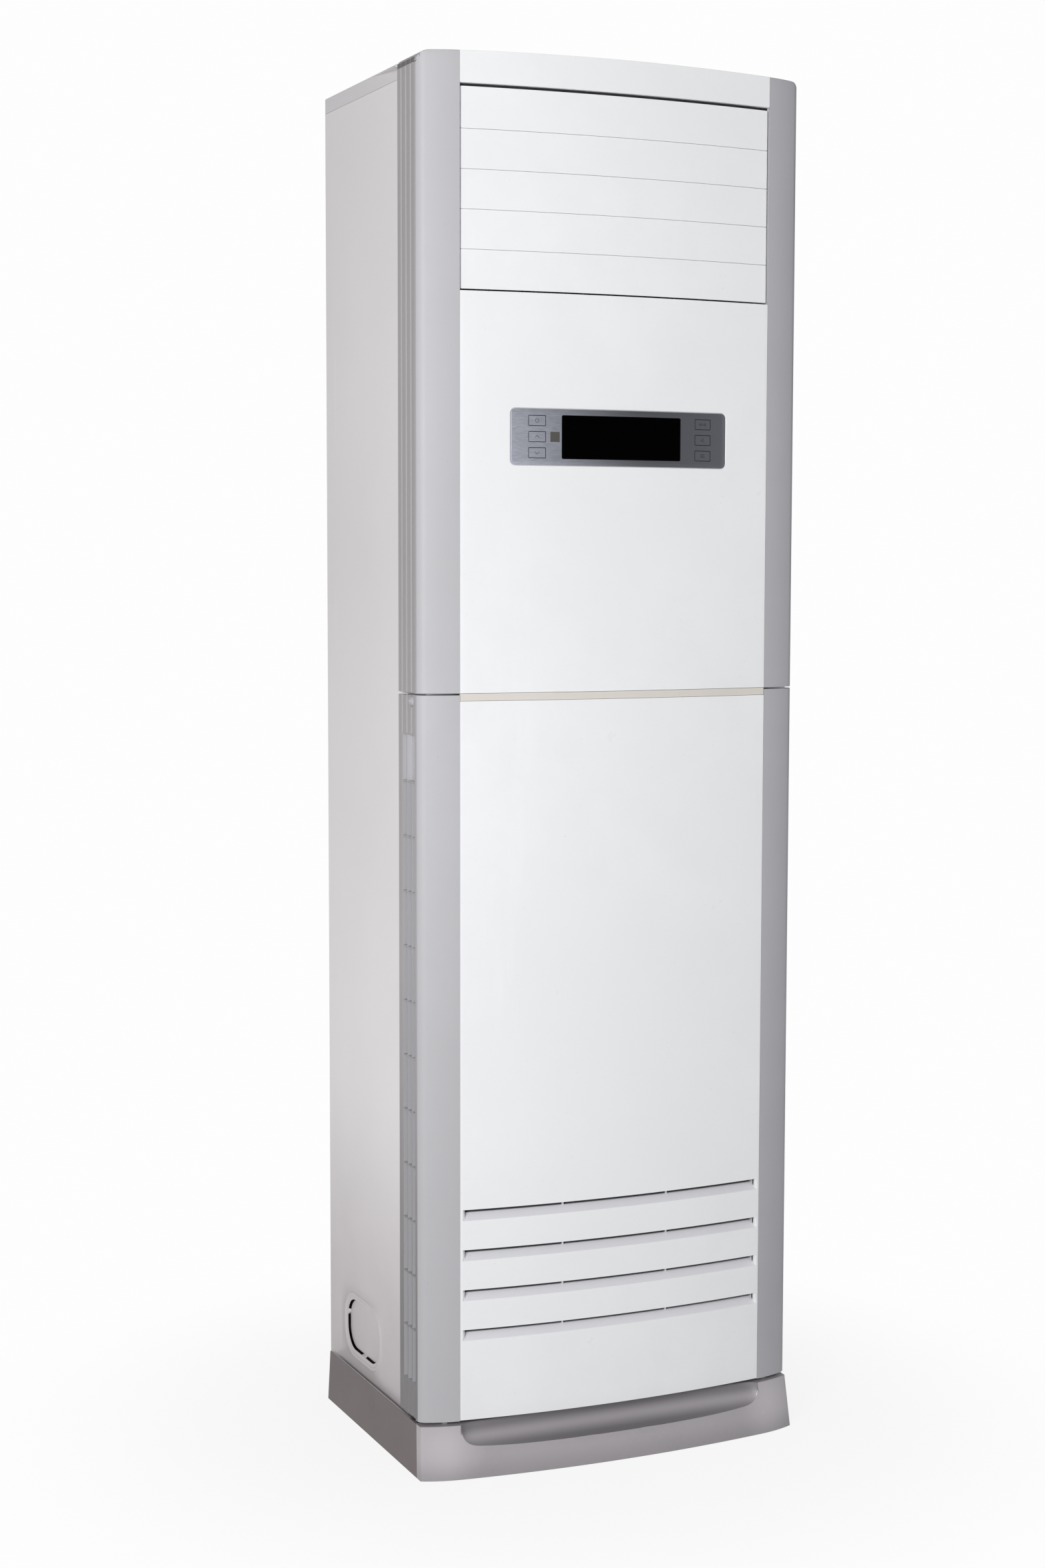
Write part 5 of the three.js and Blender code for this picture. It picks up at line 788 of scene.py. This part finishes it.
fascia, fascia_faces = tile((-PANEL_HALF, PANEL_HALF), (OUTLET_TOP + 0.3, TOP_Z),
                            1.2, 0, 3, EDGE, (7, 9))
lift = np.clip((fascia[:, 2] - OUTLET_TOP - 2) / (TOP_Z - OUTLET_TOP - 4), 0, 1)
fascia[:, 2] += lift * (crown(fascia[:, 0]) - TOP_Z)
panel_x = lines((-FACE_HALF, 7), (FACE_HALF, 0))
# Painted shade: a black strip set back in the gap above the top louvre
gap_shade_strip = plate(panel_x, np.array([OUTLET_TOP - 3.5, OUTLET_TOP + 0.3]), 0.2, 7.6, 1.2, 0.1)
soffit = shelf(panel_x, bow(panel_x, 1.2), -150, (OUTLET_TOP, OUTLET_TOP + 3))
rails = [block((217.8, 222), (-174, -150), (UPPER_FOOT, RAIL_TOP)),
         *rail((UPPER_FOOT, OUTLET_FOOT)), *rail((OUTLET_TOP + 1, RAIL_TOP))]
make("upper_front_moulding", "cabinet", [white_plastic, outlet_gap_painted_shade],
     [upper_face(), (fascia, fascia_faces), soffit, (*gap_shade_strip, 1), *rails, *map(mirrored, rails)],
     ["upper_front_panel"])

# -------- Top cover
# Folded from enamelled sheet: a flat top with a skirt along the sides and back. At the front its edges
# widen into a thin lip that meets the pillars' tops, and a tongue reaches forward to the fascia.
SKIRT, LID_SHEET, LIP_REAR, LID_FRONT = 20, 1.2, 14.3, PILLAR_REAR + 0.3


def top_cover():
    """An outline of skirt, lip, top and inside, carried from front to back. The lip widens in a straight
    line towards the pillar, and falls by 0.6 mm for each millimetre that it widens."""
    y = lines((LID_FRONT, 15), (LIP_REAR, 40), (BACK_Y, 0))[:, None]
    lip = SIDE_X + (PILLAR_X - SIDE_X) * np.clip((LIP_REAR - y) / (LIP_REAR - PILLAR_REAR), 0, 1)
    edge = TOP_Z - 1 - 0.6 * (lip - SIDE_X)
    inner = SIDE_X - LID_SHEET
    half = [(SIDE_X, TOP_Z - SKIRT), (SIDE_X, edge - 1.4), (lip, edge - 1.2), (lip, edge),
            (lip - 0.35, edge + 0.65), (inner, TOP_Z)]
    inside = [(-inner, TOP_Z - SKIRT), (-inner, TOP_Z - LID_SHEET), (inner, TOP_Z - LID_SHEET),
              (inner, TOP_Z - SKIRT)]
    loop = [*half, *[(-x, z) for x, z in half[::-1]], *inside]
    return carried(joined(*[stacked(x, y, z) for x, z in loop], axis=1))


tongue = shelf(panel_x, bow(panel_x, 3.5), LID_FRONT, (TOP_Z - LID_SHEET, TOP_Z))
rear_skirt = block((1 - SIDE_X, SIDE_X - 1), (BACK_Y - LID_SHEET, BACK_Y), (TOP_Z - SKIRT, TOP_Z - 1))
lid_enamel = enamel("lid_enamel", (0.74, 0.715, 0.735), 0.4)
make("top_cover_sheet", "cabinet", [lid_enamel], [top_cover(), tongue, rear_skirt],
     ["top_cover"])

# -------- Controls
# A brushed aluminium plate let into the face, with a black display window, a small receiver window and
# six keys cut out of the same metal. Their marks are engraved and inked.


def brushed(name, colour, rough):
    """Brushed metal: fine lines along x, from noise drawn out a hundred times, and a slow change of tone.
    Painted shade darkens its reflection towards +x.
    """
    finish = Finish(name, colour, Metallic=0.62, IOR=1.5)
    hair = finish.noise(1500, 3, (0.012, 1, 1), 0.7)
    band = finish.noise(160, 2, (0.02, 1, 1), 0.5)
    tone = finish.mix(hair.between(0.3, 0.7), toned(colour, 0.8), toned(colour, 1.14))
    tone = finish.mix(band.between(0.35, 0.65) * 0.35, tone, toned(colour, 0.9))
    # Painted shade: the colour darkens from the plate's left end to its right, as its reflection fades
    finish.set("Base Color", finish.mix(finish.along("x").between(-0.2, 0.05), tone, toned(colour, 0.2)))
    finish.set("Roughness", rough + (hair - 0.5) * 0.2 + (finish.noise(9, 2) - 0.5) * 0.1)
    finish.bump(hair, 0.00003, 0.4)
    return finish


plate_metal = brushed("plate_metal", (0.515, 0.53, 0.61), 0.34)
ink = Finish("engraved_ink", (0.02, 0.02, 0.022), IOR=1.2)
ink.shades(ink.noise(900, 2), (0.012, 0.012, 0.014), (0.03, 0.03, 0.033), 0.6, ink.noise(300, 2), 0.2)
glass = Finish("display_glass", (0.0004, 0.0004, 0.0005), IOR=1.09)
glass.shades(glass.noise(50, 3).between(0.6, 0.8), (0.0003, 0.0003, 0.0004), (0.0008, 0.0008, 0.0009),
             0.05, glass.noise(30, 4).between(0.45, 0.8), 0.07)
sensor = Finish("receiver_screen", (0.16, 0.155, 0.15), Metallic=0.3)
dots = sensor.along("x").wave(0.0013) * sensor.along("z").wave(0.0013)
sensor.shades(dots.between(-0.2, 0.3), (0.125, 0.118, 0.108), (0.04, 0.038, 0.036),
              0.42, sensor.noise(400, 2), 0.15)

KEY_X, KEY_Z, KEY_HALF = 117, (1351.4, 1331.3, 1311.2), (11.5, 6.5)
PLAY, PROUD = 0.3, -0.4


def control_plate():
    """The plate with a hole for each key."""
    a, b = KEY_X - KEY_HALF[0] - PLAY, KEY_X + KEY_HALF[0] + PLAY
    x = lines((-145.4, 6), (-b, 4), (-a, 7), (a, 4), (b, 6), (145.4, 0))
    rows = sorted(z + s * (KEY_HALF[1] + PLAY) for z in KEY_Z for s in (-1, 1))
    z = np.array([1302.0, *rows, 1360.0])
    cell_x, cell_z = middles(x, z)
    in_row = np.min(abs(cell_z[..., None] - KEY_Z), -1) < KEY_HALF[1]
    return plate(x, z, 6, PROUD, 1.5, 0.35, ~(in_row & (abs(abs(cell_x) - KEY_X) < KEY_HALF[0])))


make("control_plate_metal", "cabinet", [plate_metal], [control_plate()], ["control_plate"])


def framed(x, z, half, *shape):
    """A plain plate round its middle."""
    return tile((x - half[0], x + half[0]), (z - half[1], z + half[1]), *shape, (5, 6))


make("display_glass_window", "cabinet", [glass],
     [framed(0, KEY_Z[1], (84, 27.5), 2.2, PROUD - 0.12, 1.4, 0.3)], ["display_window"])
make("receiver_screen_window", "cabinet", [sensor],
     [framed(-93, KEY_Z[1], (6.35, 6.35), 0.6, PROUD - 0.12, 1.2, 0.2)], ["receiver_window"])


def stroke(spots):
    """An engraved line 0.5 mm wide along a path of x and z points: a ribbon that follows the plate."""
    spots = np.asarray(spots, float)
    if len(spots) == 2:
        spots = np.linspace(*spots, 9)
    way = np.gradient(spots, axis=0)
    way /= np.maximum(np.linalg.norm(way, axis=1, keepdims=True), 1e-9)
    side = stacked(-way[:, 1], way[:, 0]) * 0.5 / 2
    x, z = np.moveaxis(np.stack([spots - side, spots + side]), -1, 0)
    return (*slab(stacked(x, bow(x, PROUD - 0.06), z), stacked(x, bow(x, PROUD + 0.1), z)), 1)


def curve(middle, radius, start, end, count=16):
    """Points of an arc on the plate, in degrees from its right, upwards."""
    angle = np.radians(np.linspace(start, end, count))
    return stacked(middle[0] + radius * np.cos(angle), middle[1] + radius * np.sin(angle))


# The lines of each key's mark, round its middle. The first three keys are on the left.
MARKS = {
    "power": [curve((0, 0), 2.3, 120, 420), [(0, 0.6), (0, 3.1)]],
    "up": [[(-3, -1.5), (0, 1.8)], [(0, 1.8), (3, -1.5)]],
    "down": [[(-3, 1.5), (0, -1.8)], [(0, -1.8), (3, 1.5)]],
    "mode": [curve((-3.4, 0), 1.3, 0, 360), [(0, -1.6), (0, 1.6)], curve((3.4, 0), 1.3, 0, 360)],
    "fan": [curve(curve((0, 0), 1.1, a, a, 1)[0], 1.1, a - 150, a + 30) for a in (90, 210, 330)],
    "function": [[(-3, rise), (3, rise)] for rise in (1.6, 0, -1.6)]}


def key(mark, x, z):
    """A key plate with a black border of painted shade, its mark, and the stem that presses the switch."""
    a, b, bend = KEY_HALF[0] - 0.3, KEY_HALF[1] - 0.3, 1.1
    # Painted shade: the border strokes paint the dark gap round the key in ink
    turns = [curve((i * (a - bend), j * (b - bend)), bend, start, start + 90, 6)
             for i, j, start in ((1, 1, 0), (-1, 1, 90), (-1, -1, 180), (1, -1, 270))]
    sides = [(turns[i][-1], turns[(i + 1) % 4][0]) for i in range(4)]
    strokes = [stroke(np.add(path, (x, z))) for path in turns + sides + mark]
    stem = rod("y", (bow(x, PROUD + 1), -181.4), (x, z), 2)
    return [framed(x, z, KEY_HALF, 0.8, PROUD, 1.2, 0.2), *strokes, stem]


for number, (kind, mark) in enumerate(MARKS.items()):
    parts = key(mark, -KEY_X if number < 3 else KEY_X, KEY_Z[number % 3])
    make(f"key_{kind}_cap", f"key_{kind}", [plate_metal, ink], parts, [f"key_{kind}"])

# -------- Louvres
# Five white blades across the outlet, each on two pins in the rails. A rod joins the cranks at their
# left ends, so that the motor on the third blade turns them all.
PITCH, BLADE_HALF, BLADE_RISE, AXIS_Y, TOP_GAP = 48.9, 215.5, 24.25, -166, 5.8


def louvre(z, number):
    """A blade with a lap behind the seam below it, an ear at either end that reaches back to the pin, and its
    crank. The top blade reaches up to the black strip of painted shade."""
    top = z + (26.6 if number == 1 else BLADE_RISE)
    blade = tile((-BLADE_HALF, BLADE_HALF), (z - BLADE_RISE, top), 1, 3, 2.5, 0.4, (7, 12))
    x = lines((1 - BLADE_HALF, 7), (BLADE_HALF - 1, 0))
    behind = np.array([0.6, 0.6, 0, 0])[:, None]
    lap = plate(x, z + np.array([-24.9, -24.3, -23.4, -21]), 0.2, 5.3, 1, 0.1, near=behind)
    end_y = bow(BLADE_HALF, 3) + 1
    outline = [(end_y, z - 12), (AXIS_Y + 2, z - 3.5), (AXIS_Y + 3.5, z), (AXIS_Y + 2, z + 3.5),
               (end_y, z + 12)]
    ear = carried(np.array([[(x, *spot) for spot in outline] for x in (BLADE_HALF - 2.5, BLADE_HALF)]))
    crank = [block((-227.5, -224.5), (-169, -150), (z - 3, z + 3)),
             rod("x", (-233.5, -225.5), (AXIS_Y + 13, z), 1.6, 12)]
    pins = [rod("x", (BLADE_HALF - 1, 229 if number == 3 else 221.7), (AXIS_Y, z), 2.5, 12),
            rod("x", (-225.5, 1 - BLADE_HALF), (AXIS_Y, z), 2.5, 12)]
    return [blade, ear, mirrored(ear), *crank, *pins, *([lap] if number < 5 else [])]


for number in range(1, 6):
    make(f"louvre_{number}_blade", f"louvre_{number}", [white_plastic],
         louvre(OUTLET_TOP - TOP_GAP - (number - 0.5) * PITCH, number), [f"louvre_{number}"])

# -------- Lower front
# The white lower panel hooks on pins on the plinth. Four wide slots let the air in, each with a floor
# that slopes back and up to a narrow mouth. A cream strip covers the seam above.
SLOT_TOPS, SLOT_HEIGHT, SLOT_HALF, MOUTH = [349 - i * 52.3 for i in range(4)], 14.2, 213.4, 5.5
LOWER_FOOT, LOWER_TOP = 73.5, 1000


def lower_face():
    """The face with its slots. A slot's floor starts level with the face and slopes back."""
    ramp = SLOT_HEIGHT - MOUTH
    rises = joined([0, 0.35, 1.1], np.linspace(2.2, ramp, 6), [SLOT_HEIGHT])
    slots = [top - SLOT_HEIGHT + rises for top in SLOT_TOPS]
    between = [[top - 24, top - 38] for top in SLOT_TOPS[:-1]]
    z = merged([lines((LOWER_FOOT + EDGE, 20), (170, 0)), *slots, *between,
                lines((362, 40), (LOWER_TOP - EDGE, 0))], 0)
    ends = np.array([207, 208.5, 210, 211, 211.8, 212.5, 213.0, SLOT_HALF, FACE_HALF])
    x = joined(-ends[::-1], lines((-200, 7), (200, 0)), ends)
    xs, zs = np.meshgrid(x, z)
    near = np.zeros_like(xs)
    cell_x, cell_z = middles(x, z)
    keep = np.ones(cell_x.shape, bool)
    for top in SLOT_TOPS:
        share = np.clip((zs - top + SLOT_HEIGHT) / ramp, 0, 1) * (zs <= top - MOUTH + 0.01)
        near += 10 * share * np.clip((SLOT_HALF - abs(xs)) / 1.6, 0, 1)
        keep &= ~(within(cell_z, top - MOUTH, top) & (abs(cell_x) < 211.8))
    return plate(x, z, EDGE, 0, 3, EDGE, keep, near)


def on_ramp(x, y, z):
    """Whether a point is on a slot's floor: between its edges, and behind the face."""
    face = bow(np.minimum(abs(x), PANEL_HALF))
    off = np.min([abs(z - top + SLOT_HEIGHT / 2) for top in SLOT_TOPS], 0)
    return (abs(x) < SLOT_HALF) & within(y, face + 0.08, face + 12) & (off < SLOT_HEIGHT / 2 - 0.02)


ribs = [block((x - 0.8, x + 0.8), (bow(x) + 8, bow(x) + 11), (top - MOUTH - 0.3, top + 0.5))
        for top in SLOT_TOPS for x in (-75, 75)]
guides = [*rail((80, 999)), block((211, 214), (-174, -157), (164, 363))]
# Painted shade: a darker copy of the white plastic for the slots' sloping floors
ramp_shaded_plastic = moulded("ramp_white_painted_shade", (0.8, 0.8, 0.838), 0.38, 0.00003)
lower_front = make("lower_front_moulding", "intake_panel", [white_plastic, ramp_shaded_plastic],
                   [lower_face(), *ribs, *guides, *map(mirrored, guides)], ["lower_front_panel"])
finish_where(lower_front, 1, on_ramp)

cream_plastic = moulded("cream_strip", (0.69, 0.66, 0.612), 0.5, 0.00004)
strip = tile((-216.7, 216.7), (1000.3, 1009.6), 0.5, 0.5, 2.5, 0.3, (7, 4))
clips = [block((x - 6, x + 6), (bow(abs(x) + 6, 2), -163.3), (1002.3, 1007.7)) for x in (-150, 0, 150)]
make("seam_strip", "cabinet", [cream_plastic], [strip, *clips], ["trim_strip"])

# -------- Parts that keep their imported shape
# The works inside the cabinet and the panel screws are shown as packed, each in the finish of
# its material.

# Zinc crystals a few millimetres across, each lighter or darker, with dull patches
ZINC = (0.58, 0.6, 0.61)
zinc = Finish("galvanised_steel", ZINC, Metallic=0.75)
crystal = zinc.node("TexVoronoi", {}, {"Vector": zinc.place(), "Scale": 160}, "Color")
grey = zinc.node("SeparateColor", {}, {0: crystal})
cloud = zinc.noise(12, 4)
tone = zinc.mix(grey, toned(ZINC, 0.86), toned(ZINC, 1.1))
zinc.set("Base Color", zinc.mix(cloud.between(0.5, 0.8) * 0.4, tone, toned(ZINC, 0.8)))
zinc.set("Roughness", 0.38 + (grey - 0.5) * 0.16 + (cloud - 0.5) * 0.1)

# Copper with brown tarnish in patches
copper = Finish("copper_tube", (0.72, 0.42, 0.27), Metallic=0.95)
patch = copper.noise(24, 5, rough=0.65).between(0.42, 0.7)
copper.shades(patch, (0.75, 0.43, 0.28), (0.36, 0.19, 0.11), 0.22, patch, 0.3)
copper.bump(copper.noise(700, 2), 0.00003, 0.4)

# Aluminium fins 1.8 mm apart: light edges with painted shade in the dark gaps between them
fins = Finish("coil_fins", (0.62, 0.65, 0.67), Metallic=0.8)
wave = fins.along("x").wave(0.0018)
fins.shades(wave.between(-0.6, 0.5), (0.1, 0.105, 0.11), (0.66, 0.69, 0.71),
            0.35, fins.noise(40, 3).between(0.5, 0.75), 0.25)
fins.bump(wave, 0.0004, 0.6)

# Polystyrene foam: beads pressed together, with painted shade in the creases between them
foam = Finish("polystyrene", (0.8, 0.8, 0.78), Roughness=0.8)
bead = foam.node("TexVoronoi", {}, {"Vector": foam.place(), "Scale": 280}, "Distance")
foam.shades(bead.between(0.2, 0.75), (0.82, 0.82, 0.8), (0.66, 0.66, 0.64), 0.72, foam.noise(60, 3), 0.2)
foam.bump(1 - bead, 0.0003, 0.5)

# Black nylon with a matt grain and a bloom of dust
nylon = Finish("dark_nylon", (0.035, 0.037, 0.042), Roughness=0.5)
bloom = nylon.noise(18, 4).between(0.45, 0.8)
nylon.shades(bloom * 0.5, (0.03, 0.032, 0.036), (0.095, 0.092, 0.088), 0.42, bloom, 0.25)
nylon.bump(nylon.noise(1600, 2), 0.00005, 0.5)

# Nylon mesh of 1.6 mm: light where threads cross, and painted shade in the dark holes
gauze = Finish("filter_mesh", (0.07, 0.075, 0.085), Roughness=0.7)
upright = (gauze.along("x") + gauze.along("y")).wave(0.0016)
thread = upright.most(gauze.along("z").wave(0.0016)).between(0.2, 0.7)
gauze.shades(thread, (0.015, 0.016, 0.018), (0.12, 0.125, 0.14), 0.6, gauze.noise(50, 3), 0.25)
gauze.bump(thread, 0.0003, 0.6)

# Green board: lighter tracks in short runs, under varnish
board = Finish("circuit_board", (0.03, 0.16, 0.07), Coat_Weight=0.4)
track = board.noise(120, 1, (1, 1, 6), 0.3).between(0.5, 0.53)
board.shades(track, (0.022, 0.13, 0.055), (0.05, 0.24, 0.1), 0.3, track, 0.1)
board.bump(track, 0.00005, 0.5)

dressing = [
    (zinc, "base_pan cross_beam partition_plate louvre_motor vane_motor motor_bracket blower_motor "
           "electric_box electric_box_cover"),
    (screw_zinc, "left_panel_screw right_panel_screw"),
    (copper, "gas_pipe liquid_pipe left_tube_plate right_tube_plate"),
    (fins, "evaporator_fins"),
    (foam, "outlet_duct drain_pan"),
    (nylon, "terminal_block louvre_link vane_link scroll_housing inlet_ring blower_wheel "
            "vane_1 vane_2 vane_3 vane_4 vane_5 vane_6"),
    (gauze, "left_side_filter right_side_filter slot_filter"),
    (board, "display_board")]
for finish, nodes in dressing:
    for node in nodes.split():
        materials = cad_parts[node].data.materials
        materials.clear()
        materials.append(finish.material)
